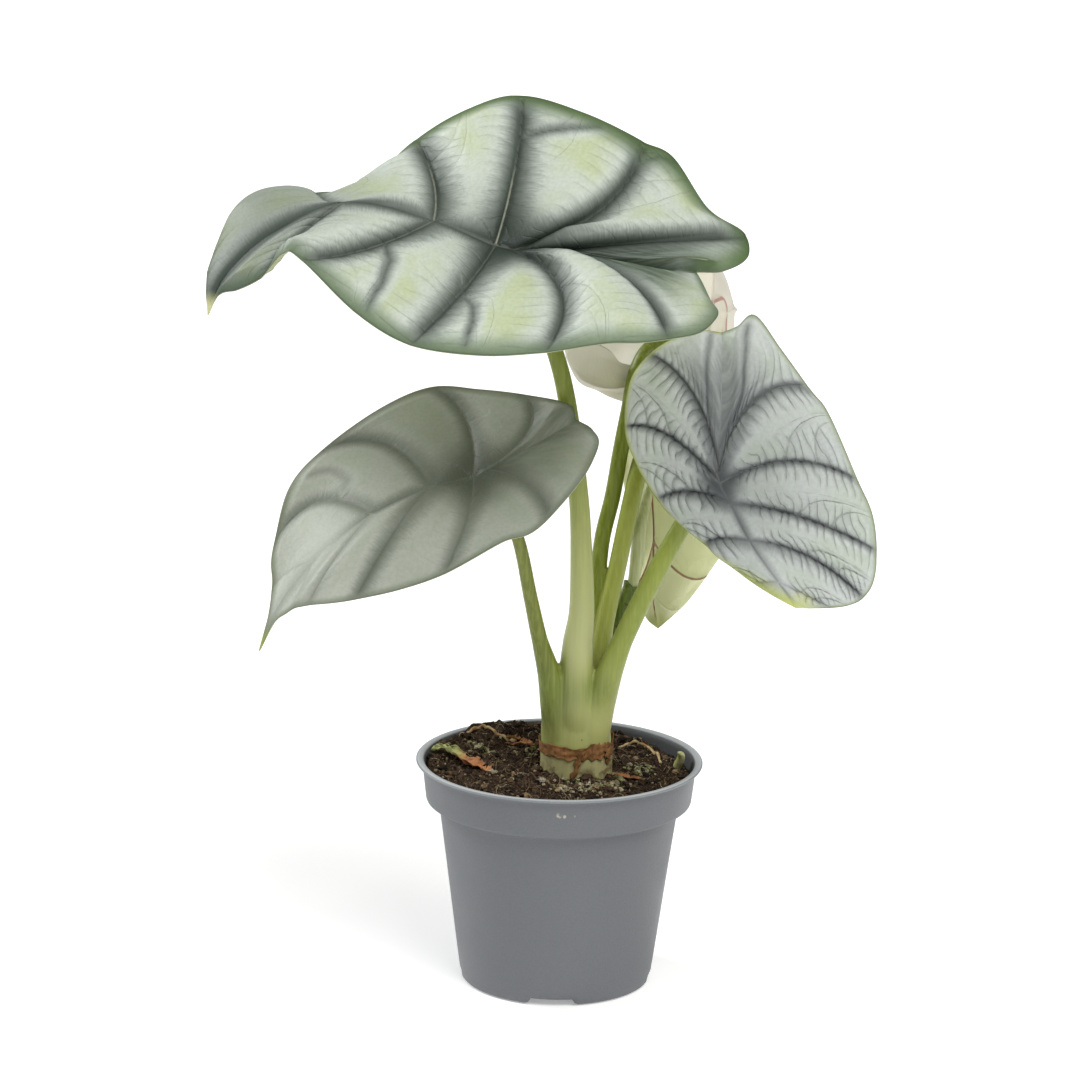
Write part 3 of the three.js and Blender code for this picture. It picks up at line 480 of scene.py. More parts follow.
class Paint:
    """A material whose nodes are made by short calls, with its colour laid on in coats."""

    def __init__(self, name, roughness=0.5, specular=0.5):
        self.material = bpy.data.materials.new(name)
        self.material.use_nodes = True
        self.tree = self.material.node_tree
        self.shader = self.tree.nodes["Principled BSDF"]
        self.shader.inputs["Roughness"].default_value = roughness
        self.shader.inputs["Specular IOR Level"].default_value = specular

    def join(self, value, socket):
        if isinstance(value, bpy.types.NodeSocket):
            self.tree.links.new(value, socket)
        else:
            socket.default_value = value

    def node(self, kind, *values, **settings):
        """A node with its settings made and its first inputs filled."""
        made = self.tree.nodes.new("ShaderNode" + kind)
        for title, setting in settings.items():
            setattr(made, title, setting)
        for value, socket in zip(values, made.inputs):
            self.join(value, socket)
        return made

    def sum(self, operation, *values):
        return self.node("Math", *values, operation=operation).outputs[0]

    def times(self, *values):
        total = values[0]
        for value in values[1:]:
            total = self.sum("MULTIPLY", total, value)
        return total

    def flip(self, value):
        return self.sum("SUBTRACT", 1.0, value)

    def ease(self, value, low, high, start=0.0, end=1.0):
        return self.node("MapRange", value, low, high, start, end, interpolation_type="SMOOTHSTEP").outputs[0]

    def middle(self, value):
        """How far a value is from the half before the next whole number."""
        return self.sum("ABSOLUTE", self.sum("SUBTRACT", self.sum("FRACT", value), 0.5))

    def mix(self, share, first, second):
        made = self.node("Mix", share, data_type="RGBA")
        self.join(first, made.inputs[6])
        self.join(second, made.inputs[7])
        return made.outputs[2]

    def start(self, share, first, second):
        """The first coat: two tones mixed by a share."""
        self.colour = self.mix(share, tone(first), tone(second))

    def coat(self, share, shade, level=1.0):
        """Lays one more tone over the colour by a share."""
        self.colour = self.mix(share, self.colour, tone(shade, level))

    def number(self, title, out="Fac"):
        return self.node("Attribute", attribute_name=title).outputs[out]

    def spot(self, stretch=(1, 1, 1)):
        place = self.node("TexCoord").outputs["Object"]
        if stretch == (1, 1, 1):
            return place
        return self.node("VectorMath", place, stretch, operation="MULTIPLY").outputs[0]

    def away(self, where, point):
        """Distance of a place to a point given in millimetres."""
        point = [part * MM for part in point]
        return self.node("VectorMath", where, point, operation="DISTANCE").outputs["Value"]

    def noise(self, where, scale, detail=2.0, rough=0.5):
        made = self.node("TexNoise", where)
        made.inputs["Scale"].default_value = scale
        made.inputs["Detail"].default_value = detail
        made.inputs["Roughness"].default_value = rough
        return made.outputs["Fac"]

    def cells(self, where, scale):
        made = self.node("TexVoronoi", where)
        made.inputs["Scale"].default_value = scale
        return made.outputs["Distance"]

    def finish(self, height, depth, roughness=None):
        self.join(self.colour, self.shader.inputs["Base Color"])
        if roughness is not None:
            self.join(roughness, self.shader.inputs["Roughness"])
        bump = self.node("Bump")
        bump.inputs["Strength"].default_value = 1.0
        bump.inputs["Distance"].default_value = depth
        self.join(height, bump.inputs["Height"])
        self.join(bump.outputs[0], self.shader.inputs["Normal"])
        return self.material


# Pieces
def carry(mesh, title, values):
    """Numbers, directions or colours at the points of a mesh, which its paint reads by their title."""
    values = np.asarray(values, np.float32)
    width = 1 if values.ndim == 1 else values.shape[1]
    kind, field = {1: ("FLOAT", "value"), 3: ("FLOAT_VECTOR", "vector"), 4: ("FLOAT_COLOR", "color")}[width]
    mesh.attributes.new(title, kind, "POINT").data.foreach_set(field, values.ravel())


def piece(name, points, faces, material, stands_for=(), facts=None, smooth=True):
    """A mesh object from points in millimetres, riding on the one body."""
    mesh = bpy.data.meshes.new(name)
    mesh.from_pydata((np.asarray(points, float) * MM).tolist(), [], [list(face) for face in faces])
    mesh.validate()
    mesh.polygons.foreach_set("use_smooth", [smooth] * len(mesh.polygons))
    for title, values in (facts or {}).items():
        carry(mesh, title, values)
    mesh.materials.append(material)
    made = bpy.data.objects.new(name, mesh)
    bpy.context.scene.collection.objects.link(made)
    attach(made, "root")
    if stands_for:
        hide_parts(*stands_for)
    return made


# Camera
def set_camera():
    rise = math.radians(CAMERA_RISE)
    down = math.radians(CAMERA_DOWN)
    roll = math.radians(CAMERA_ROLL)
    focal = PIXELS_A_MM * CAMERA_REACH
    turn = math.atan(SIDEWAYS / focal)
    ahead = Vector((-math.sin(turn) * math.cos(down), math.cos(turn) * math.cos(down), -math.sin(down)))
    level = ahead.cross(Vector((0, 0, 1))).normalized()
    upright = level.cross(ahead)
    right = level * math.cos(roll) + upright * math.sin(roll)
    up = upright * math.cos(roll) - level * math.sin(roll)
    lens = bpy.data.cameras.new("camera")
    lens.sensor_width = SENSOR
    lens.lens = SENSOR * focal / FRAME_SIDE
    lens.clip_end = 50
    camera = bpy.data.objects.new("camera", lens)
    place = Vector((0, -CAMERA_REACH * math.cos(rise), POT_HEIGHT + CAMERA_REACH * math.sin(rise))) * MM
    turned = Matrix((right, up, -ahead)).transposed()
    camera.matrix_world = Matrix.Translation(place) @ turned.to_4x4()
    bpy.context.scene.collection.objects.link(camera)
    bpy.context.scene.camera = camera


# Light and floor
def set_stage():
    world = bpy.data.worlds.new("studio")
    world.use_nodes = True
    world.node_tree.nodes["Background"].inputs["Color"].default_value = (1, 1, 1, 1)
    world.node_tree.nodes["Background"].inputs["Strength"].default_value = SKY
    bpy.context.scene.world = world
    bpy.context.scene.view_settings.view_transform = "Standard"
    for name, rise, heading, strength, spread, colour in LAMPS:
        data = bpy.data.lights.new(name, "SUN")
        data.energy = strength
        data.angle = math.radians(spread)
        data.color = colour
        lamp = bpy.data.objects.new(name, data)
        lamp.rotation_euler = (math.radians(90 - rise), 0, math.radians(heading))
        bpy.context.scene.collection.objects.link(lamp)
    paint = Paint("floor_paint", 0.9, 0.1)
    speck = paint.noise(paint.spot(), 30.0)
    colour = paint.mix(speck, (0.93, 0.93, 0.93, 1), (0.96, 0.96, 0.96, 1))
    paint.join(colour, paint.shader.inputs["Base Color"])
    paint.shader.inputs["Emission Color"].default_value = (1, 1, 1, 1)
    paint.shader.inputs["Emission Strength"].default_value = GLOW
    sheet = bpy.data.meshes.new("floor")
    half = 8
    corners = [(-half, -half, 0), (half, -half, 0), (half, half, 0), (-half, half, 0)]
    sheet.from_pydata(corners, [], [(0, 1, 2, 3)])
    sheet.materials.append(paint.material)
    floor = bpy.data.objects.new("floor", sheet)
    floor.location = (0, 0, -0.0004)
    bpy.context.scene.collection.objects.link(floor)


set_camera()
set_stage()


# Leaves
def through(rows, places, calm=False):
    """Smooth values through (place, right, back, up) rows. A calm line never swings past its points."""
    rows = np.array(rows, float)
    knots = rows[:, 0]
    values = rows[:, 1:]
    spans = np.diff(knots)[:, None]
    slopes = np.diff(values, axis=0) / spans
    inner = (slopes[:-1] * spans[1:] + slopes[1:] * spans[:-1]) / (spans[1:] + spans[:-1])
    if calm:
        same = slopes[:-1] * slopes[1:] > 0
        total = np.where(same, slopes[:-1] + slopes[1:], 1)
        inner = np.where(same, 2 * slopes[:-1] * slopes[1:] / total, 0)
    tangents = np.vstack([slopes[:1], inner, slopes[-1:]])
    before = np.clip(np.searchsorted(knots, places, side="right") - 1, 0, len(knots) - 2)
    span = spans[before]
    t = (places - knots[before])[:, None] / span
    return (
        (2 * t**3 - 3 * t**2 + 1) * values[before]
        + (t**3 - 2 * t**2 + t) * span * tangents[before]
        + (3 * t**2 - 2 * t**3) * values[before + 1]
        + (t**3 - t**2) * span * tangents[before + 1]
    )


def blade_points(leaf, places, shares):
    """Middle surface for each place and each share across, negative towards the front."""
    places = np.atleast_1d(np.asarray(places, float))
    lines = {}
    for title in ("rib", "front_vein", "front_edge", "back_vein", "back_edge"):
        rows = [(0, *leaf["notch"]), *leaf[title], (LAST_PLACE, *leaf["tip"])]
        lines[title] = through(rows, places, title == "rib")[:, None]
    v = np.abs(np.asarray(shares, float))[None, :, None]
    front = (np.asarray(shares) < 0)[None, :, None]
    vein = np.where(front, lines["front_vein"], lines["back_vein"])
    edge = np.where(front, lines["front_edge"], lines["back_edge"])
    flat = lines["rib"] * (1 - v) * (1 - 2 * v) + vein * 4 * v * (1 - v) + edge * v * (2 * v - 1)
    return flat + np.array(leaf["at"])


def nearest(points, line):
    """Distance of each point to a line of points, and how far along the line that is in millimetres."""
    start = line[:-1]
    step = line[1:] - start
    size = (step**2).sum(1)
    start, step, size = start[size > 1e-9], step[size > 1e-9], size[size > 1e-9]
    share = np.einsum("pkc,kc->pk", points[:, None] - start[None], step) / size
    share = np.clip(share, 0, 1)
    away = np.linalg.norm(points[:, None] - (start[None] + share[..., None] * step[None]), axis=2)
    best = away.argmin(1)
    pick = np.arange(len(points))
    length = np.sqrt(size)
    before = np.concatenate([[0], np.cumsum(length)[:-1]])
    return away[pick, best], before[best] + share[pick, best] * length[best]


def vein_lines(leaf, look, branches):
    """Every dark vein as (points, width at its start and end, half, painted highlight line, line below,
    darkness).
    """
    way = np.linspace(0, 1, 60)
    rib = blade_points(leaf, np.linspace(0.9, LAST_PLACE, 90), [0.0])[:, 0]
    rib_mark, marks = look["lines"]
    main, minor = look["deep"]
    lines = [(rib, 1.0, 0.75, 0, 0.15, rib_mark, main)]
    for place in range(1, SIDE_VEINS + 1):
        for side in (-1, 1):
            thin = look["veins"].get((place, side), 1.0 if place <= 4 else 0.7)
            vein_highlight = look["vein_highlights"].get((place, side), 0.15)
            mark = marks.get((place, side), 0.12)
            deep = main if thin > 0.7 else minor
            line = blade_points(leaf, [place], way * side)[0]
            lines.append((line, thin, 0.8 * thin, side, vein_highlight, mark, deep))
    for branch in branches:
        spots = np.array(branch)
        knots = np.linspace(0, 1, len(spots))
        places = np.interp(way, knots, spots[:, 0])
        shares = np.interp(way, knots, spots[:, 1])
        line = np.array([blade_points(leaf, [place], [share])[0, 0] for place, share in zip(places, shares)])
        lines.append((line, 0.5, 0.3, 0, 0.0, 0.0, minor))
    return lines


def leaf_facts(leaf, look, branches, places, shares, grid):
    """What the blade's paint and relief need to know at each point."""
    rows, columns = grid.shape[:2]
    flat = grid.reshape(-1, 3)
    side = np.sign(np.tile(shares, rows))
    place = np.repeat(places, columns)
    share = np.abs(np.tile(shares, rows))
    joint = np.linalg.norm(flat - np.array(leaf["at"]), axis=1)
    part = place - np.floor(place)
    wide, slim = look["band"]
    ratio = np.full(len(flat), 9.0)
    gap = np.full(len(flat), 99.0)
    deep = np.ones(len(flat))
    along, vein_highlight, mark = np.zeros((3, len(flat)))
    for number, (line, start, end, half, light, drawn, dark) in enumerate(vein_lines(leaf, look, branches)):
        away, run = nearest(flat, line)
        out = np.clip(run / 60, 0, 1) ** 0.7
        width = (wide * (1 - out) + slim * out) * (start * (1 - out) + end * out)
        if number == 0:
            width = width * np.where(side < 0, look["rib_sides"][0], look["rib_sides"][1])
        elif half:
            # partly painted shade: a band is made wider on one side of its vein than on the other
            after = ease(part, 0.35, 0.65)
            width = width * (look["sides"][0] * (1 - after) + look["sides"][1] * after)
        if half:
            away = np.where(side == -half, away + 3 * share * 20, away)
        closer = away / width < ratio
        ratio = np.where(closer, away / width, ratio)
        along = np.where(closer, run + 40 * number, along)
        vein_highlight = np.where(closer, light * (1 - ease(run, 25, 45)), vein_highlight)
        mark = np.where(closer, drawn, mark)
        deep = np.where(closer, dark, deep)
        gap = np.where(closer, away, gap)
    deep = deep * (1 - look["calm"] * ease(place, 3.7, 4.8))
    edge = np.concatenate([grid[:, 0], grid[::-1, -1]])
    rim, _ = nearest(flat, edge[::2])
    steps = np.linalg.norm(np.diff(grid, axis=1), axis=2)
    middle = columns // 2
    out = np.zeros((rows, columns))
    out[:, middle + 1:] = np.cumsum(steps[:, middle:], axis=1)
    out[:, :middle] = np.cumsum(steps[:, :middle][:, ::-1], axis=1)[:, ::-1]
    out = out.ravel()
    wobble = 0.2 * np.sin(place * 5.1 + share * 9 + side) + 0.12 * np.sin(out * 0.4 + place * 9)
    wobble += look["wave"] * np.sin(part * 11 + out * 0.5 + 2 * np.sin(out * 0.31))
    widths = np.array(look["margin"], float)
    knots = np.arange(len(widths))
    margin = np.where(side < 0, np.interp(place, knots, widths[:, 0]), np.interp(place, knots, widths[:, 1]))
    ratio = (np.maximum(ratio, 0.01) ** -2.0 + 0.35 * (rim / margin + 0.6) ** -2) ** -0.5
    ladder = out / look["ladder"] + 0.5 * ease(part, 0.42, 0.58) + 1.2 * (0.5 - np.abs(part - 0.5)) + wobble
    lean = np.clip(1 - part, 0, 0.54)
    arc = (share - 0.08 * lean / (0.57 - lean)) * 4.2 + 0.25 * wobble
    past = (place > 1) & (place < 5)
    arc_show = ease(part, 0.44, 0.52) * ease(arc, 0.9, 1.3) * (1 - ease(share, 0.93, 1)) * past
    inward = ease(out, 4, 10) * ease(rim, 0.5, 3)
    between = ease(np.abs(part - 0.5), 0.02, 0.2)
    ladder_show = np.where(place > 1, between, 0.8 * ease(part, 0.5, 0.9)) * inward
    return {
        "side": side, "place": place, "part": part, "share": share, "along": along, "joint": joint,
        "gap": gap, "ratio": ratio, "rim": rim, "margin": rim / margin, "vein_highlight": vein_highlight, "mark": mark,
        "deep": deep, "ladder": ladder, "ladder_show": ladder_show, "arc": arc, "arc_show": arc_show,
        "tip": np.linalg.norm(flat - flat[-1], axis=1),
    }


def pillow(phase):
    """Rounded cushions with a crease at each whole number."""
    return np.abs(np.sin(np.pi * phase)) ** 0.6


def sheet_mesh(grid, above, below):
    """A thin closed sheet over a grid of points, with the same triangles above and below."""
    rows, columns = grid.shape[:2]
    index = np.arange(rows * columns).reshape(rows, columns)
    for row in (0, rows - 1):
        if np.linalg.norm(grid[row, 0] - grid[row, -1]) < 1e-6:
            index[row] = index[row, 0]
    a, b, c, d = index[:-1, :-1], index[:-1, 1:], index[1:, 1:], index[1:, :-1]
    faces = np.concatenate([np.stack([a, b, c], -1).reshape(-1, 3), np.stack([a, c, d], -1).reshape(-1, 3)])
    good = (faces[:, 0] != faces[:, 1]) & (faces[:, 1] != faces[:, 2]) & (faces[:, 0] != faces[:, 2])
    faces = faces[good]
    flat = grid.reshape(-1, 3)
    turned = np.cross(flat[faces[:, 1]] - flat[faces[:, 0]], flat[faces[:, 2]] - flat[faces[:, 0]])
    normals = np.zeros_like(flat)
    for corner in range(3):
        np.add.at(normals, faces[:, corner], turned)
    normals /= np.maximum(np.linalg.norm(normals, axis=1, keepdims=True), 1e-12)
    width = np.linalg.norm(grid[:, 0] - grid[:, -1], axis=1)
    even = np.clip((NARROW - width) / 4, 0, 1)
    for row in np.nonzero(even > 0)[0]:
        corners = index[row]
        mean = normals[corners].sum(0)
        mean /= np.linalg.norm(mean)
        mixed = normals[corners] * (1 - even[row]) + mean * even[row]
        normals[corners] = mixed / np.linalg.norm(mixed, axis=1, keepdims=True)
    top = flat + normals * above.reshape(-1, 1)
    bottom = flat - normals * below.reshape(-1, 1)
    size = len(flat)
    border = np.concatenate([index[0], index[1:, -1], index[-1, ::-1][1:], index[::-1, 0][1:]])
    sides = [(q, p, p + size, q + size) for p, q in zip(border[:-1], border[1:]) if p != q]
    used = np.unique(faces)
    keep = np.concatenate([used, used + size])
    renumber = np.full(2 * size, -1)
    renumber[keep] = np.arange(len(keep))
    both = np.concatenate([faces, faces[:, ::-1] + size]).tolist()
    return np.concatenate([top, bottom])[keep], [tuple(renumber[list(face)]) for face in both + sides], used


def leaf_paint(name, look):
    paint = Paint(name, look["roughness"], 0.45)
    ratio = paint.number("ratio")
    gap = paint.number("gap")
    rim = paint.number("rim")
    joint = paint.number("joint")
    where = paint.spot()
    streak = paint.noise(paint.number("streak", "Vector"), 1.0, 3.0)
    coarse = paint.noise(where, 45.0, 3.0)
    grain = paint.noise(where, 700.0, 2.0)
    # silver cells, yellower in their middles
    centre = paint.times(paint.ease(ratio, 1.2, 3.0), paint.ease(coarse, 0.3, 0.75))
    silver = paint.mix(centre, tone(look["silver"]), tone(look["blush"]))
    # green margin, then the wide dark bands that feather out from the veins
    loose = paint.times(paint.number("margin"), paint.sum("SUBTRACT", 1.3, paint.times(coarse, 0.6)))
    inner = paint.sum("POWER", paint.ease(loose, -0.4, 2.4), 1.6)
    green = paint.mix(paint.number("back"), tone(look["rim_front"]), tone(look["rim"]))
    paint.colour = paint.mix(inner, green, silver)
    rough_ratio = paint.times(ratio, paint.sum("SUBTRACT", 1.4, paint.times(streak, 0.8)))
    clear = paint.sum("POWER", paint.ease(rough_ratio, -0.45, 1.95), 1.6)
    near_rim = paint.sum("ADD", 0.36, paint.times(inner, 0.6))
    band = paint.times(paint.flip(clear), near_rim, paint.number("deep"))
    heart = paint.ease(joint, 1.0, look["heart"], 0.95, 0.0)
    gloom = paint.ease(joint, 3.0, look["gloom"][0], look["gloom"][1], 0.0)
    wing = paint.ease(paint.number("place"), 4.0, 5.8, 0.0, look["wing"])
    band = paint.flip(paint.times(paint.flip(band), paint.flip(heart), paint.flip(gloom), paint.flip(wing)))
    # the two lobes run together beside the notch
    fused = paint.times(
        paint.ease(paint.number("place"), 0.8, 1.0, look["fused_share"], 0.0),
        paint.ease(joint, look["fade"][0], look["fade"][1], 1.0, 0.25),
        paint.ease(streak, 0.35, 0.7, 1.0, 0.7),
        paint.ease(paint.number("share"), look["lobe"][0], look["lobe"][1], 1.0, 0.2),
    )
    paint.coat(fused, look["fused"])
    paint.coat(band, look["dark"])
    # small cross veins, and painted shade that darkens each puffed cell between them towards one side
    show = paint.number("ladder_show")
    ladder = paint.times(paint.ease(paint.middle(paint.number("ladder")), 0.38, 0.5), show)
    puff_shade = paint.ease(paint.sum("FRACT", paint.number("ladder")), 0.35, 1.0)
    puff_shade = paint.times(puff_shade, show, paint.ease(ratio, 1.0, 3.2, 1.0, 0.35), look["puff_shade"])
    arc = paint.times(paint.ease(paint.middle(paint.number("arc")), 0.43, 0.5), paint.number("arc_show"))
    fine = paint.sum("MAXIMUM", ladder, arc)
    patchy = paint.ease(paint.noise(where, 70.0, 2.0), 0.25, 0.6)
    fine_share = paint.times(fine, patchy, paint.flip(paint.times(band, 0.7)), look["fine"])
    paint.coat(paint.sum("MAXIMUM", fine_share, puff_shade), look["dark"])
    # dark heart, creases and painted highlight lines along the veins, grain and outline
    inside = paint.ease(rim, 0.5, 3.0)
    paint.coat(paint.ease(joint, 1.0, look["heart"], look["core"], 0.0), look["dark"], 0.6)
    crease = paint.times(paint.ease(gap, 0.1, 0.8, look["crease"], 0.0), inside, paint.number("deep"))
    paint.coat(crease, look["dark"], 0.7)
    # painted highlight along the ridge of each vein near the joint
    paint.coat(paint.times(paint.ease(gap, 0.15, 0.6, 1.0, 0.0), paint.number("vein_highlight")), look["vein_highlight"])
    paint.coat(paint.ease(grain, 0.3, 0.7, 0.0, 0.1), look["dark"])
    paint.coat(paint.ease(rim, 0.1, 0.7, 0.4, 0.0), look["dark"])
    # pale underside with thin veins, and the tip
    under = paint.mix(coarse, tone(look["under"]), tone(look["under"], 0.93))
    thin_line = paint.times(paint.ease(gap, 0.25, 0.75, 1.0, 0.0), inside, paint.number("mark"))
    under = paint.mix(thin_line, under, tone(look["under_vein"]))
    paint.colour = paint.mix(paint.number("upper"), under, paint.colour)
    paint.coat(paint.ease(paint.number("tip"), 3.0, 11.0, 1.0, 0.0), look["tip"])
    height = paint.sum("ADD", paint.times(fine, -look["emboss"]), paint.times(grain, 0.25))
    height = paint.sum("ADD", height, paint.times(streak, band, 0.5))
    return paint.finish(height, 0.0003)


def inside_box(points):
    """Points held just inside the box that the whole object fills."""
    low, high = (np.array(corner) / MM for corner in cad_box)
    return np.clip(points, low + 0.05, high - 0.05)


def make_leaf(name):
    leaf = LEAVES[name]
    look = PLAIN_LOOK | LOOKS[name]
    per_vein, columns = GRIDS[name]
    places = np.linspace(0, LAST_PLACE, LAST_PLACE * per_vein + 1)
    shares = np.linspace(-1, 1, 2 * columns + 1)
    grid = blade_points(leaf, places, shares)
    facts = leaf_facts(leaf, look, BRANCHES[name], places, shares, grid)
    side, part, share, place = (facts.pop(key) for key in ("side", "part", "share", "place"))
    along = facts.pop("along")
    gap, joint = facts["gap"], facts["joint"]
    reach = np.linalg.norm(grid - grid[:, columns:columns + 1], axis=2).ravel()
    skew = np.where(side < 0, *look["skew"])
    quilt = np.where(side < 0, *look["quilt"])
    swell = quilt * np.sin(np.pi * part**skew) ** 0.95
    swell *= np.minimum(1, reach / SWELL_REACH) * np.minimum(1, 6 * (1 - share) + 0.1)
    inside = ease(facts["rim"], 0.5, 4)
    relief = 0.3 * look["relief"] * (pillow(facts["ladder"]) - 0.7) * facts["ladder_show"]
    relief += 0.4 * look["relief"] * (pillow(facts["arc"]) - 0.7) * facts["arc_show"]
    groove = -look["groove"] * np.exp(-((gap / 1.3) ** 2)) * ease(joint, 2, 9)
    lift = (swell + (relief + groove) * inside) * (1 - look["calm"] * ease(place, 3.7, 4.8))
    half = BLADE * (1 - 0.35 * ease(share, 0.85, 1)) / 2
    ridge = RIB_DEPTH * (1 - np.clip(joint / 110, 0, 0.7)) * np.exp(-((gap / 1.0) ** 2)) * inside
    if look["turned"]:
        points, faces, used = sheet_mesh(grid, half - lift + ridge, half + lift)
    else:
        points, faces, used = sheet_mesh(grid, half + lift, half - lift + ridge)
    facts |= {"place": place, "share": share, "back": side > 0}
    across = np.stack([along * 1.5, gap * 0.22, side], 1)
    outward = np.stack([place * 16, joint * 0.06, side * 5], 1)
    facts["streak"] = np.where(place[:, None] < 1, outward, across)
    double = {title: np.concatenate([values[used]] * 2) for title, values in facts.items()}
    upper = np.repeat([0.0, 1.0] if look["turned"] else [1.0, 0.0], len(used))
    double["upper"] = upper
    material = leaf_paint(name + "_paint", look)
    return piece(name.replace("leaf", "blade"), inside_box(points), faces, material, [name], double)


for leaf_name in LEAVES:
    make_leaf(leaf_name)


# Stem and stalks
def curve_points(axis, steps):
    """Points and radii along a smooth line through (right, back, up, radius) points."""
    axis = np.array(axis, float)
    spots = np.vstack([2 * axis[0, :3] - axis[1, :3], axis[:, :3], 2 * axis[-1, :3] - axis[-2, :3]])
    made = []
    for place in np.linspace(0, len(axis) - 1, steps + 1):
        before = min(int(place), len(axis) - 2)
        t = place - before
        p0, p1, p2, p3 = spots[before:before + 4]
        d0, d1, d2 = (max(np.linalg.norm(b - a), 1e-6) ** 0.5 for a, b in ((p0, p1), (p1, p2), (p2, p3)))
        start = ((p1 - p0) / d0 - (p2 - p0) / (d0 + d1) + (p2 - p1) / d1) * d1
        end = ((p2 - p1) / d1 - (p3 - p1) / (d1 + d2) + (p3 - p2) / d2) * d1
        spot = (
            (2 * t**3 - 3 * t**2 + 1) * p1 + (t**3 - 2 * t**2 + t) * start
            + (3 * t**2 - 2 * t**3) * p2 + (t**3 - t**2) * end
        )
        made.append([*spot, axis[before, 3] * (1 - t) + axis[before + 1, 3] * t])
    return np.array(made)


def ring_angles(sides):
    return np.linspace(0, 2 * np.pi, sides, endpoint=False)


def rings_along(line, sides, profile=None):
    """Loops of points around a line of (right, back, up, radius) points, widened by profile(angle, share)."""
    centres = line[:, :3]
    along = np.gradient(centres, axis=0)
    along /= np.linalg.norm(along, axis=1, keepdims=True)
    across = np.array([1.0, 0, 0])
    angles = ring_angles(sides)
    loops = []
    for number, (centre, way) in enumerate(zip(centres, along)):
        across = across - across @ way * way
        across /= np.linalg.norm(across)
        beside = np.cross(way, across)
        scale = line[number, 3]
        if profile is not None:
            scale = scale * profile(angles, number / (len(line) - 1))
        scale = np.broadcast_to(scale, angles.shape)
        first = (np.cos(angles) * scale)[:, None] * across
        second = (np.sin(angles) * scale)[:, None] * beside
        loops.append(centre + first + second)
    return np.array(loops)


def tube_faces(rings, sides, start=0):
    """Faces of a tube of rings with a flat end on each side."""
    faces = []
    for i in range(rings - 1):
        for j in range(sides):
            low = start + i * sides
            after = (j + 1) % sides
            faces.append((low + j, low + after, low + sides + after, low + sides + j))
    faces.append(tuple(start + j for j in reversed(range(sides))))
    faces.append(tuple(start + (rings - 1) * sides + j for j in range(sides)))
    return faces


def tube(axis, sides, steps, profile=None):
    loops = rings_along(curve_points(axis, steps), sides, profile)
    return loops.reshape(-1, 3), tube_faces(steps + 1, sides)


def under_blade(points, leaf, axis):
    """Moves the end of a stalk that would come out through its blade back to the underside."""
    at = np.array(leaf["at"], float)
    near = blade_points(leaf, [2.1, 2.6], [-0.12, 0.0, 0.12])
    facing = np.cross(near[1, 1] - near[0, 1], near[0, 2] - near[0, 0])
    facing /= np.linalg.norm(facing)
    facing *= np.sign(facing @ (np.array(axis[-1][:3]) - np.array(axis[-3][:3])))
    over = (points - at) @ facing + END_DEPTH
    close = np.linalg.norm(points - at, axis=1) < END_REACH
    return points - facing * np.where(close & (over > 0), over, 0)[:, None]


def swelling(angles, share):
    """A stalk gets thicker just before its blade."""
    return 1 + END_SWELL * max(0.0, (share - END_SHARE) / (1 - END_SHARE)) ** 2


def apply_modifiers(made):
    bpy.context.view_layer.update()
    graph = bpy.context.evaluated_depsgraph_get()
    shaped = bpy.data.meshes.new_from_object(made.evaluated_get(graph))
    old = made.data
    made.modifiers.clear()
    made.data = shaped
    bpy.data.meshes.remove(old)


def stem_paint():
    paint = Paint("stem_paint", 0.42, 0.45)
    where = paint.spot()
    streaks = paint.noise(paint.spot((1, 1, 0.06)), 900.0, 3.0)
    broad = paint.noise(paint.spot((1, 1, 0.12)), 160.0, 2.0)
    paint.colour = paint.number("tint", "Color")
    paint.coat(paint.ease(streaks, 0.35, 0.7, 0.0, 0.22), (188, 194, 100))
    paint.coat(paint.ease(broad, 0.45, 0.8, 0.0, 0.1), (92, 108, 34))
    dirt = paint.ease(paint.noise(where, 170.0, 4.0, 0.6), 0.44, 0.62, 0.0, 0.85)
    paint.coat(paint.times(dirt, paint.number("buried")), (104, 84, 56))
    dots = paint.ease(paint.cells(where, 260.0), 0.05, 0.12, 1.0, 0.0)
    some = paint.ease(paint.noise(where, 55.0, 1.0), 0.6, 0.66)
    paint.coat(paint.times(dots, some, paint.number("foot")), (96, 92, 52))
    height = paint.sum("ADD", streaks, paint.times(paint.noise(where, 1500.0, 2.0), 0.4))
    return paint.finish(height, 0.00012)


def stem_tint(spots):
    """The tone at each point of the stem and the stalks."""
    weights = []
    tones = []
    for stalk in STALKS.values():
        away, run = nearest(spots, curve_points(stalk["axis"], 60)[:, :3])
        high, low = (np.array(tone(shade)) for shade in stalk["tones"])
        share = np.clip(run / 120, 0, 1)[:, None]
        weights.append(1 / (away + 0.8) ** 5)
        tones.append(high * share + low * (1 - share))
    weights = np.array(weights)
    tint = (weights[..., None] * np.array(tones)).sum(0) / weights.sum(0)[:, None]
    climb = ease(spots[:, 2], 108, 150)[:, None]
    # painted shade on the trunk's left side and painted light on its right side, blended across it
    turn = ease(spots[:, 0], -9, 15)[:, None]
    trunk = np.array(tone(STEM_SHADED_LEFT)) * (1 - turn) + np.array(tone(STEM_LIT_RIGHT)) * turn
    tint = tint * (0.15 + 0.85 * climb) + trunk * (0.85 - 0.85 * climb)
    layers = []
    for *spot, reach in GREEN_SPOTS:
        away = np.linalg.norm(spots - np.array(spot), axis=1)
        layers.append((0.75 * np.exp(-((away / reach) ** 2)), PATCH_TONE))
    layers.append((0.7 * (1 - ease(spots[:, 2], 103, 116)), STEM_LOW))
    layers.append((1 - ease(spots[:, 2], 96, 102), STEM_FOOT))
    for share, shade in layers:
        tint = tint * (1 - share[:, None]) + np.array(tone(shade)) * share[:, None]
    return tint


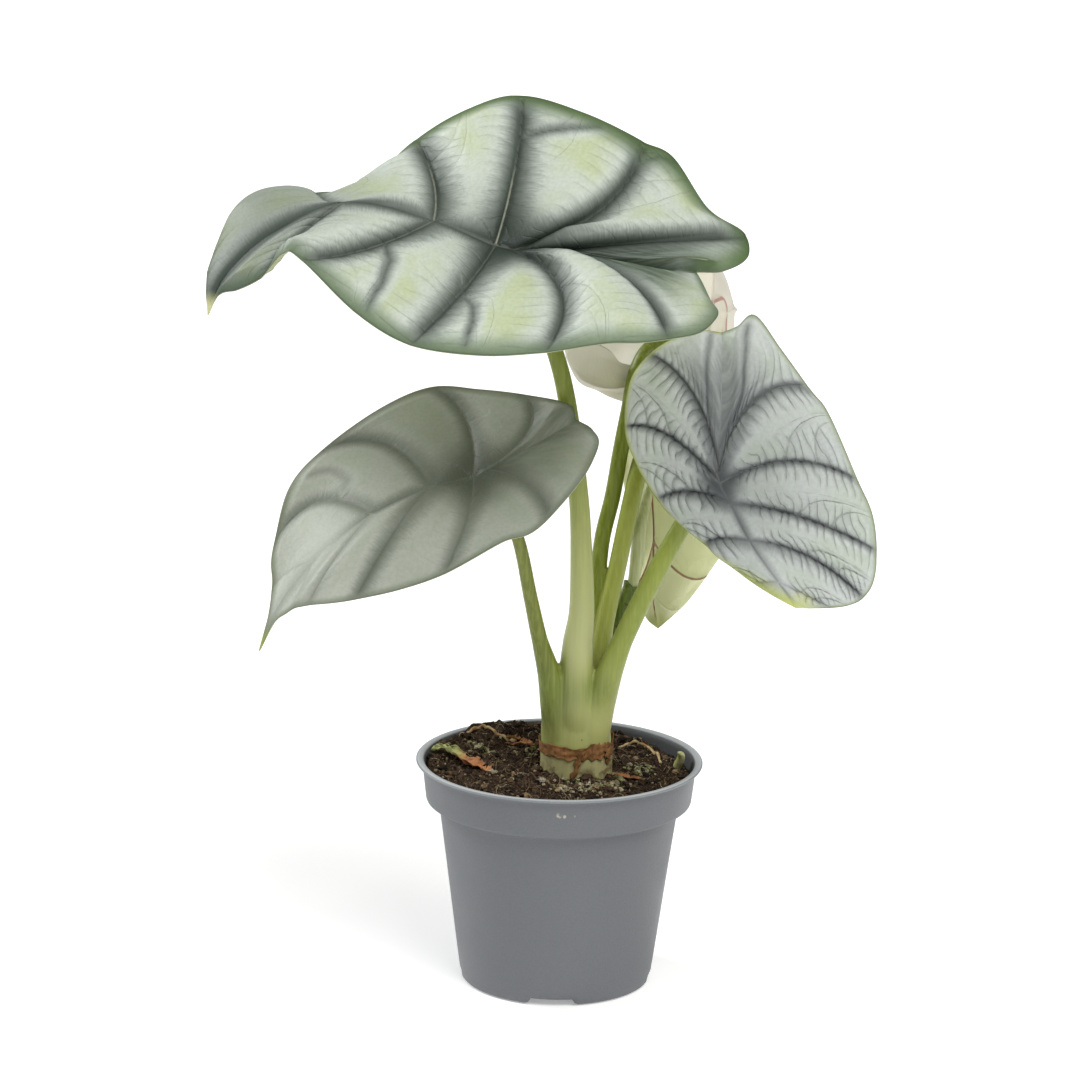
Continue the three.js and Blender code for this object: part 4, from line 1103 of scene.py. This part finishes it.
def make_stem():
    sets = [tube(CORE, 48, 60)]
    for name, stalk in STALKS.items():
        axis = stalk["foot"] + stalk["axis"][2:]
        points, faces = tube(axis, 28, len(axis) * 12, swelling)
        sets.append((under_blade(points, LEAVES[name.replace("petiole", "leaf")], axis), faces))
    points = []
    faces = []
    for some_points, some_faces in sets:
        faces += [tuple(len(points) + corner for corner in face) for face in some_faces]
        points += some_points.tolist()
    made = piece("stem_and_stalks", points, faces, stem_paint(), ["stem_base", *STALKS])
    remesh = made.modifiers.new("skin", "REMESH")
    remesh.mode = "VOXEL"
    remesh.voxel_size = STEM_STEP * MM
    remesh.use_smooth_shade = True
    soften = made.modifiers.new("soften", "SMOOTH")
    soften.factor = 0.5
    soften.iterations = SMOOTH_TURNS
    apply_modifiers(made)
    mesh = made.data
    spots = np.array([vert.co[:] for vert in mesh.vertices]) / MM
    carry(mesh, "tint", stem_tint(spots))
    carry(mesh, "foot", 1 - ease(spots[:, 2], 130, 170))
    carry(mesh, "buried", 1 - ease(spots[:, 2], 90, 100))
    around = np.arctan2(spots[:, 1] - TRUNK[1], spots[:, 0] - TRUNK[0])
    flutes = 0.12 * np.sin(around * 7 + spots[:, 2] * 0.03)
    flutes *= (1 - ease(spots[:, 2], 118, 140))
    normals = np.zeros(len(spots) * 3)
    mesh.vertex_normals.foreach_get("vector", normals)
    moved = (spots + normals.reshape(-1, 3) * flutes[:, None]) * MM
    mesh.vertices.foreach_set("co", moved.ravel())
    mesh.polygons.foreach_set("use_smooth", [True] * len(mesh.polygons))
    mesh.update()


def rolled_leaf():
    """The new leaf: a sheet rolled round itself, with the free edge as a step down its side."""
    line = curve_points(NEW_LEAF_ROLL, 70)
    sides = 40
    edge = 0.4

    def rolled(angles, share):
        return 1.02 - 0.16 * ((angles - edge) % (2 * np.pi)) / (2 * np.pi) + 0.03 * np.sin(share * 9 + angles)

    loops = rings_along(line, sides, rolled)
    angles = np.tile(ring_angles(sides), len(line))
    facts = {
        "seam": np.abs((angles - edge + np.pi) % (2 * np.pi) - np.pi),
        "climb": np.repeat(np.linspace(0, 1, len(line)), sides),
    }
    paint = Paint("new_leaf_paint", 0.45, 0.45)
    streaks = paint.noise(paint.spot((1, 1, 0.08)), 800.0, 3.0)
    paint.start(paint.ease(streaks, 0.3, 0.7), (178, 186, 128), (204, 208, 160))
    paint.coat(paint.ease(paint.number("climb"), 0.0, 0.35, 0.6, 0.0), (150, 164, 84))
    paint.coat(paint.ease(paint.number("seam"), 0.06, 0.16, 1.0, 0.0), (150, 92, 58))
    material = paint.finish(streaks, 0.00015)
    faces = tube_faces(len(line), sides)
    piece("new_leaf_rolled", loops.reshape(-1, 3), faces, material, ["new_leaf_roll"], facts)


def leaf_sheath():
    """The green sheath round the foot of the new leaf, open on top with a small knob at its lip."""
    line = curve_points(NEW_LEAF_SHEATH, 50)
    sides = 36
    outer = rings_along(line, sides)
    top = ease(np.linspace(0, 1, len(line)), 0.75, 1)[:, None]
    lip = 1.6 * np.maximum(0, np.cos(ring_angles(sides) - np.pi))[None]
    outer[..., 2] += top * lip
    outer[..., 0] -= top * 0.35 * lip
    inner = rings_along(line * np.array([1, 1, 1, 0.8]), sides)[::-1]
    inner[..., 2] += (top * lip)[::-1]
    loops = np.concatenate([outer, inner[: len(line) // 3]])
    paint = Paint("sheath_paint", 0.42, 0.45)
    streaks = paint.noise(paint.spot((1, 1, 0.08)), 700.0, 3.0)
    paint.start(paint.ease(streaks, 0.3, 0.7), (78, 96, 30), (120, 138, 54))
    paint.coat(paint.ease(paint.noise(paint.spot(), 240.0), 0.62, 0.72), (70, 60, 30))
    material = paint.finish(streaks, 0.0002)
    faces = tube_faces(len(loops), sides)
    piece("new_leaf_wrap", loops.reshape(-1, 3), faces, material, ["new_leaf_sheath"])


make_stem()
rolled_leaf()
leaf_sheath()


# Pot
def pot_paint():
    paint = Paint("pot_paint", 0.5, 0.4)
    where = paint.spot()
    fine = paint.noise(where, 1400.0, 2.0)
    cloud = paint.noise(where, 35.0, 3.0)
    dust_and_shade = paint.number("dust_and_shade")
    paint.start(cloud, (104, 107, 110), (112, 115, 119))
    paint.coat(paint.ease(fine, 0.3, 0.75, 0.0, 0.3), (126, 130, 135))
    dust = paint.ease(paint.noise(where, 220.0, 4.0), 0.58, 0.72)
    paint.coat(paint.times(dust, dust_and_shade, 0.5), (120, 108, 92))
    rubbed = paint.ease(paint.noise(where, 700.0), 0.4, 0.55)
    for *spot, reach in SCUFFS:
        scuff = paint.ease(paint.away(where, spot), 0.4 * reach * MM, reach * MM, 0.9, 0.0)
        paint.coat(paint.times(scuff, rubbed), (200, 192, 176))
    # painted shade: the inside wall and the inner lip darkened grey, over the real dust laid above
    paint.coat(paint.times(dust_and_shade, 0.6), (66, 66, 70))
    # painted highlight: a pale line along the rounded top edges of the lip
    paint.coat(paint.number("lip_highlight"), (200, 205, 210))
    return paint.finish(fine, 0.00008, paint.ease(cloud, 0.3, 0.7, 0.42, 0.55))


def notched(heights, height, angles):
    """The standing ring's heights at one radius, lifted where the notches are."""
    for notch in range(NOTCHES):
        middle = math.radians(notch * 360 / NOTCHES + NOTCH_TURN - 90)
        away = np.abs((angles - middle + np.pi) % (2 * np.pi) - np.pi) * 39
        lift = NOTCH_HEIGHT * (1 - ease(away, NOTCH_WIDTH / 2 - NOTCH_EDGE, NOTCH_WIDTH / 2 + NOTCH_EDGE))
        heights = np.maximum(heights, np.where(lift > 0, lift + height * 0.04, height))
    return heights


def cut_drains(made):
    cutters = bmesh.new()
    for hole in range(DRAIN_HOLES):
        angle = (hole + 0.5) * 2 * math.pi / DRAIN_HOLES
        x, y = DRAIN_RING * MM * math.cos(angle), DRAIN_RING * MM * math.sin(angle)
        place = Matrix.Translation((x, y, 0.003))
        bmesh.ops.create_cone(
            cutters, cap_ends=True, segments=28, radius1=DRAIN_RADIUS * MM, radius2=DRAIN_RADIUS * MM,
            depth=0.012, matrix=place,
        )
    cutter_mesh = bpy.data.meshes.new("drains")
    cutters.to_mesh(cutter_mesh)
    cutters.free()
    cutter = bpy.data.objects.new("drains", cutter_mesh)
    bpy.context.scene.collection.objects.link(cutter)
    cut = made.modifiers.new("holes", "BOOLEAN")
    cut.operation = "DIFFERENCE"
    cut.solver = "EXACT"
    cut.object = cutter
    apply_modifiers(made)
    bpy.data.objects.remove(cutter)


def make_pot():
    profile = POT_OUTSIDE + [(radius - WALL, height) for radius, height in POT_INSIDE]
    angles = ring_angles(POT_SIDES)
    loops = []
    for radius, height in profile:
        heights = np.full(POT_SIDES, float(height))
        if 36 <= radius <= 40.7 and height < NOTCH_HEIGHT:
            heights = notched(heights, height, angles)
        loops.append(np.stack([radius * np.cos(angles), radius * np.sin(angles), heights], 1))
    points = np.concatenate(loops)
    up = points[:, 2]
    radii = np.linalg.norm(points[:, :2], axis=1)
    facts = {
        # the inside of the pot, which carries real dust and painted shade
        "dust_and_shade": np.repeat(np.arange(len(profile)), POT_SIDES) > len(POT_OUTSIDE) - 3,
        # painted highlight on the lip's top edges, strongest along the inner edge
        "lip_highlight": 0.25 * ((up > 94.1) & (radii > 59.2)) + 0.7 * ((up > 94.6) & (radii > 56.5) & (radii < 59.5)),
    }
    faces = tube_faces(len(profile), POT_SIDES)
    cut_drains(piece("nursery_pot", points, faces, pot_paint(), ["pot"], facts))


make_pot()


# Soil
def rough_at(x, y, size, seed=0.0):
    return noise.noise(Vector((x / size, y / size, seed)))


def soil_height(x, y):
    slope = -0.04 * x + 0.04 * y
    lumps = 0.9 * np.sin(x * 0.21 + 1) * np.cos(y * 0.19) + 0.6 * np.sin(x * 0.47 + y * 0.33)
    fine = 0.4 * np.sin(x * 0.93 - y * 0.71 + 2)
    return float(SOIL_TOP + slope + lumps + fine)


def soil_top(x, y):
    """The crumbly top of the soil at one spot."""
    rough = 1.4 * rough_at(x, y, 6.0) + 1.0 * rough_at(x, y, 2.6, 3) + 0.6 * rough_at(x, y, 1.2, 7)
    settle = min(1.0, (SOIL_RADIUS - math.hypot(x, y)) / 5 + 0.35)
    heap = sum(top * math.exp(-((x - a) ** 2 + (y - b) ** 2) / reach**2) for a, b, reach, top in HEAPS)
    return soil_height(x, y) + heap + rough * max(0.2, settle)


def make_soil():
    paint = Paint("soil_paint", 0.95, 0.15)
    where = paint.spot()
    lumps = paint.noise(where, 420.0, 4.0, 0.7)
    crumbs = paint.cells(where, 900.0)
    paint.start(paint.ease(lumps, 0.32, 0.68), (34, 26, 21), (84, 66, 50))
    paint.coat(paint.ease(crumbs, 0.05, 0.5, 0.6, 0.0), (24, 19, 16))
    pale = paint.ease(paint.noise(where, 1300.0, 1.0), 0.66, 0.74)
    paint.coat(paint.times(pale, 0.7), (146, 128, 98))
    material = paint.finish(paint.sum("ADD", lumps, crumbs), 0.0009)
    inset = WALL + 0.3
    wall = [(40.5 - inset, FLOOR_TOP + 0.3), (50.0 - inset, 74), (50.6 - inset, 78.9), (SOIL_RADIUS, 79.6)]
    rings = [SOIL_RADIUS * share for share in np.linspace(1, 0.01, SOIL_RINGS) ** 0.9]
    points = []
    for radius, height in wall + [(ring, None) for ring in rings]:
        for angle in ring_angles(SOIL_SIDES):
            x, y = radius * math.cos(angle), radius * math.sin(angle)
            points.append((x, y, soil_top(x, y) if height is None else height))
    faces = tube_faces(len(wall) + len(rings), SOIL_SIDES)
    piece("peat_soil", points, faces, material, ["soil"])


CRUMB_TONES = {
    "black": (34, 27, 23), "dark": (58, 45, 35), "brown": (88, 68, 51), "light": (122, 100, 76),
    "tan": (160, 138, 106), "pale": (196, 186, 156), "moss": (104, 106, 62), "grey_moss": (148, 148, 106),
    "white": (214, 208, 190), "fresh": (178, 186, 120),
}
PEAT_MIX = ["black"] * 6 + ["dark"] * 9 + ["brown"] * 8 + ["light"] * 4 + ["tan"] * 2 + ["pale"]
MOSS_MIX = ["moss"] * 4 + ["grey_moss"] * 5 + ["pale"] * 2 + ["brown"] * 2
PALE_MIX = ["pale"] * 4 + ["grey_moss"] * 3 + ["tan"] * 3 + ["light"] * 2 + ["white"]
FRESH_MIX = ["grey_moss"] * 5 + ["pale"] * 4 + ["fresh"] * 5
FIBRE_MIX = ["brown", "light", "light", "tan", "tan", "pale"]
# Clusters as (right, back, spread, count, mix)
CLUSTERS = [
    (2, -24, 5, 60, PALE_MIX), (14, -22, 5, 60, PALE_MIX), (-5, -17, 3.5, 30, PALE_MIX),
    (34, 4, 5.5, 110, FRESH_MIX), (-33, 20, 6, 60, MOSS_MIX), (27, -10, 6, 50, MOSS_MIX),
    (21, -17, 4, 30, PALE_MIX), (-12, 21, 5, 30, MOSS_MIX), (-51, 20, 3, 24, PALE_MIX),
    (39, 34, 8, 30, MOSS_MIX), (7, -17, 3, 30, MOSS_MIX),
]


def lump_shape(detail):
    shape = bmesh.new()
    bmesh.ops.create_icosphere(shape, subdivisions=detail, radius=1)
    points = np.array([vert.co[:] for vert in shape.verts])
    faces = [tuple(vert.index for vert in face.verts) for face in shape.faces]
    shape.free()
    return points, faces


def free_spot(x, y):
    """Whether a spot lies inside the pot and clear of the trunk."""
    return math.hypot(x, y) < SOIL_RADIUS - 1.2 and math.hypot(x - TRUNK[0], y - TRUNK[1]) > TRUNK_REACH


def any_spot(draw):
    return draw.uniform(-SOIL_RADIUS, SOIL_RADIUS), draw.uniform(-SOIL_RADIUS, SOIL_RADIUS)


def tinted_paint(name, roughness, specular, speck_size, detail, share, dark, depth):
    """Paint of loose bits that each carry a tone of their own, with darker specks."""
    paint = Paint(name, roughness, specular)
    speck = paint.noise(paint.spot(), speck_size, detail)
    paint.colour = paint.number("tint", "Color")
    paint.coat(paint.ease(speck, *share, 0.0), dark)
    return paint.finish(speck, depth)


def make_crumbs():
    draw = random.Random(7)
    small = lump_shape(1)
    large = lump_shape(2)
    spots = []
    while len(spots) < CRUMBS:
        x, y = any_spot(draw)
        if free_spot(x, y) and rough_at(x, y, 9.0, 20) > draw.uniform(-0.6, 0.3):
            size = 0.3 + 0.5 * draw.random() ** 2 + (1.1 * draw.random() if draw.random() < 0.08 else 0)
            spots.append((x, y, size, draw.choice(PEAT_MIX)))
    for right, back, spread, count, mix in CLUSTERS:
        for _ in range(count):
            x, y = draw.gauss(right, spread * 0.5), draw.gauss(back, spread * 0.5)
            if free_spot(x, y):
                spots.append((x, y, 0.4 + 0.8 * draw.random(), draw.choice(mix)))
    points, faces, tints = [], [], []
    base = 0
    for x, y, size, shade in spots:
        shape, corners = large if size > 1.0 else small
        stretch = np.array([draw.uniform(0.7, 1.35), draw.uniform(0.7, 1.35), draw.uniform(0.55, 1.0)])
        turn = draw.uniform(0, 6.28)
        bent = shape * (1 + 0.45 * np.array([draw.uniform(-1, 1) for _ in shape])[:, None]) * stretch * size
        right = bent[:, 0] * math.cos(turn) - bent[:, 1] * math.sin(turn)
        back = bent[:, 0] * math.sin(turn) + bent[:, 1] * math.cos(turn)
        height = soil_top(x, y) + size * 0.35
        points.append(np.stack([right + x, back + y, bent[:, 2] + height], 1))
        faces += [tuple(base + corner for corner in face) for face in corners]
        tint = np.array(tone(CRUMB_TONES[shade])[:3]) * draw.uniform(0.75, 1.15)
        tints.append(np.tile([*tint, 1], (len(shape), 1)))
        base += len(shape)
    material = tinted_paint("crumb_paint", 0.95, 0.15, 1600.0, 3.0, (0.35, 0.7, 0.45), (40, 32, 26), 0.0004)
    facts = {"tint": np.concatenate(tints)}
    piece("soil_crumbs", np.concatenate(points), faces, material, (), facts, False)


def make_fibres():
    draw = random.Random(11)
    points, faces, tints = [], [], []
    sides = 4
    steps = 7
    while len(points) < FIBRES:
        x, y = any_spot(draw)
        heading = draw.uniform(0, 6.28)
        length = draw.uniform(2, 9)
        radius = draw.uniform(0.09, 0.2)
        line = []
        for step in range(steps):
            if not free_spot(x, y):
                break
            way = step / (steps - 1)
            lift = 0.25 + 0.9 * math.sin(way * math.pi) * (0.5 + 0.5 * math.sin(len(points)))
            line.append((x, y, soil_top(x, y) + lift, radius * (1 - 0.5 * way)))
            heading += draw.uniform(-0.5, 0.5)
            x += length / (steps - 1) * math.cos(heading)
            y += length / (steps - 1) * math.sin(heading)
        if len(line) < steps:
            continue
        faces += tube_faces(steps, sides, len(points) * steps * sides)
        points.append(rings_along(np.array(line), sides).reshape(-1, 3))
        tints.append(np.tile(tone(CRUMB_TONES[draw.choice(FIBRE_MIX)]), (steps * sides, 1)))
    material = tinted_paint("fibre_paint", 0.9, 0.2, 900.0, 2.0, (0.4, 0.7, 0.4), (60, 46, 34), 0.0002)
    facts = {"tint": np.concatenate(tints)}
    piece("soil_fibres", np.concatenate(points), faces, material, (), facts)


make_soil()
make_crumbs()
make_fibres()


# Things lying on the soil
def papery_paint(name, first, second, dark):
    paint = Paint(name, 0.8, 0.25)
    fibres = paint.noise(paint.spot((1, 1, 0.35)), 600.0, 4.0, 0.65)
    blotch = paint.noise(paint.spot(), 160.0, 3.0)
    paint.start(paint.ease(blotch, 0.35, 0.65), first, second)
    paint.coat(paint.ease(fibres, 0.5, 0.72, 0.0, 0.75), dark)
    paint.coat(paint.number("green"), (184, 188, 124))
    return paint.finish(fibres, 0.0004)


def patchy_paint(name, roughness, specular, size, detail, first, second):
    paint = Paint(name, roughness, specular)
    patches = paint.noise(paint.spot(), size, detail)
    paint.start(paint.ease(patches, 0.35, 0.65), first, second)
    return paint.finish(patches, 0.0002)


def crumpled(name, grid, thickness, crumple, seed, material, nodes, green=None):
    """A thin papery sheet over a grid of points, crumpled a little."""
    noise.seed_set(CRUMPLE_SEED)
    grid = np.array(grid, float)
    rows, columns = grid.shape[:2]
    for row in range(rows):
        for column in range(columns):
            shift = noise.noise_vector(Vector(grid[row, column] / 2.6) + Vector((seed, 0, 0)))
            grid[row, column] += np.array(shift) * crumple
    half = np.full(rows * columns, thickness / 2)
    points, faces, used = sheet_mesh(grid, half, half)
    greens = np.zeros(rows * columns) if green is None else np.repeat(green, columns)
    piece(name, points, faces, material, nodes, {"green": np.tile(greens[used], 2)})


def strip_grid(rows, heading, steps, columns, ragged, seed):
    """A strip along rows of (right, back, above the soil, half width, curl), with ragged raised sides."""
    line = curve_points([(x, y, soil_height(x, y) + above, reach) for x, y, above, reach, _ in rows], steps)
    curls = np.interp(np.linspace(0, 1, steps + 1), np.linspace(0, 1, len(rows)), [row[4] for row in rows])
    side = np.array([-math.sin(heading), math.cos(heading), 0])
    grid = []
    for number, (x, y, z, reach) in enumerate(line):
        bend = curls[number]
        radius = reach / min(bend, 1.6)
        loose = ragged * ease(1.8 - bend, 0, 0.8)
        low = bend * (1 - loose * abs(noise.noise(Vector((number * 0.37, seed, 0)))) * 2)
        high = bend * (1 - loose * abs(noise.noise(Vector((number * 0.37, seed, 9)))) * 2)
        angles = np.linspace(-low, high, columns)[:, None]
        bent = side * radius * np.sin(angles) + [0, 0, radius] * (1 - np.cos(angles))
        grid.append(np.array([x, y, z]) + bent)
    return np.array(grid)


def make_scraps():
    withered = papery_paint("withered_paint", (190, 134, 92), (158, 104, 66), (112, 72, 46))
    green = 1 - ease(np.linspace(0, 1, 61), 0.36, 0.56)
    grid = strip_grid(WITHERED, -0.9, 60, 21, 0.6, 1.0)
    nodes = ["withered_leaf_scrap"]
    crumpled("withered_leaf", grid, 0.3, 1.3, 2.0, withered, nodes, green)
    dry = papery_paint("dry_sheath_paint", (176, 122, 80), (140, 94, 60), (90, 62, 42))
    grid = strip_grid(DRY_SHEATH, -0.4, 34, 13, 0.4, 4.0)
    crumpled("dry_sheath", grid, 0.3, 0.7, 5.0, dry, ["dry_sheath_scrap"])
    for number, rows in enumerate(SHREDS):
        grid = strip_grid(rows, 2.6, 36, 15, 0.7, 6.0 + number)
        crumpled(f"sheath_shred_{number + 1}", grid, 0.3, 1.2, 3.0 + number, dry, ())


def make_roots():
    steps = 60
    sides = 10
    for name, axis in ROOTS.items():
        rows = [(x, y, soil_height(x, y) + above + 0.5, reach) for x, y, above, reach in axis]
        wavy = curve_points(rows, steps)
        for spot in wavy[6:-6]:
            spot[2] = max(spot[2], soil_top(spot[0], spot[1]) + 0.7)
        wavy[:, 1] += 0.4 * np.sin(np.linspace(0, 19, steps + 1))
        wavy[:, 3] *= 1 + 0.2 * np.sin(np.linspace(0, 47, steps + 1))
        material = patchy_paint(name + "_paint", 0.7, 0.3, 260.0, 3.0, (208, 184, 138), (160, 122, 80))
        points = rings_along(wavy, sides).reshape(-1, 3)
        piece(name.replace("strand", "thread"), points, tube_faces(steps + 1, sides), material, [name])


def make_sprout():
    rows = [(x, y, soil_height(x, y) + above, reach) for x, y, above, reach in SPROUT]
    points, faces = tube(rows, 18, 30)
    material = patchy_paint("sprout_paint", 0.5, 0.4, 300.0, 2.0, (176, 188, 104), (214, 212, 156))
    piece("young_sprout", points, faces, material, ["sprout"])


def round_trunk(radius, angle, height):
    return COLLAR[0] + radius * math.cos(angle), COLLAR[1] + radius * math.sin(angle), height


def make_collar():
    """The brown papery band where an old leaf came away: smooth at the left, crumpled at the right."""
    rows, columns = COLLAR_SHAPE
    grid = np.zeros((rows + 1, columns, 3))
    for row in range(rows + 1):
        angle = row / rows * 2 * math.pi
        around = Vector((math.cos(angle) * 2.2, math.sin(angle) * 2.2, 0))
        rough = 0.25 + 0.75 * max(0.0, math.cos(angle + 0.5))
        frill = 1.3 * math.sin(angle * 5) + 1.6 * noise.noise(around * 3)
        top = 103.6 + rough * frill + 0.6 * math.cos(angle)
        foot = 98.4 + rough * (2.0 * noise.noise(around * 2.6 + Vector((5, 0, 0))) - 0.8)
        for column, share in enumerate(np.linspace(0, 1, columns)):
            fold = (0.15 + 0.75 * rough) * noise.noise(around * 3.4 + Vector((0, 0, share * 3.2)))
            radius = COLLAR_RADIUS + max(-0.2, fold) + 0.25 * (2 * share - 1) ** 2 * rough
            grid[row, column] = round_trunk(radius, angle, foot + (top - foot) * share)
    paper = papery_paint("collar_paint", (152, 108, 66), (122, 86, 48), (84, 58, 36))
    crumpled("leaf_scar_ring", grid, 0.35, 0.2, 0.0, paper, ["scar_collar"])
    for number, (start, lean, wide, low) in enumerate(COLLAR_STRIPS):
        strip = []
        for down in np.linspace(0, 1, 40):
            line = []
            for side in np.linspace(-1, 1, 9):
                spread = side * wide * (1 - 0.4 * down) * (1 + 0.35 * math.sin(down * 17))
                bulge = 0.5 * number * math.sin(math.pi * down) + 0.3 * math.cos(side * 2.5)
                radius = 15.8 - 0.2 * down + bulge
                line.append(round_trunk(radius, start + lean * down + spread, 102 - low * down))
            strip.append(line)
        crumpled(f"leaf_scar_strip_{number + 1}", strip, 0.35, 0.6, 8.0 + number, paper, ())


make_scraps()
make_roots()
make_sprout()
make_collar()
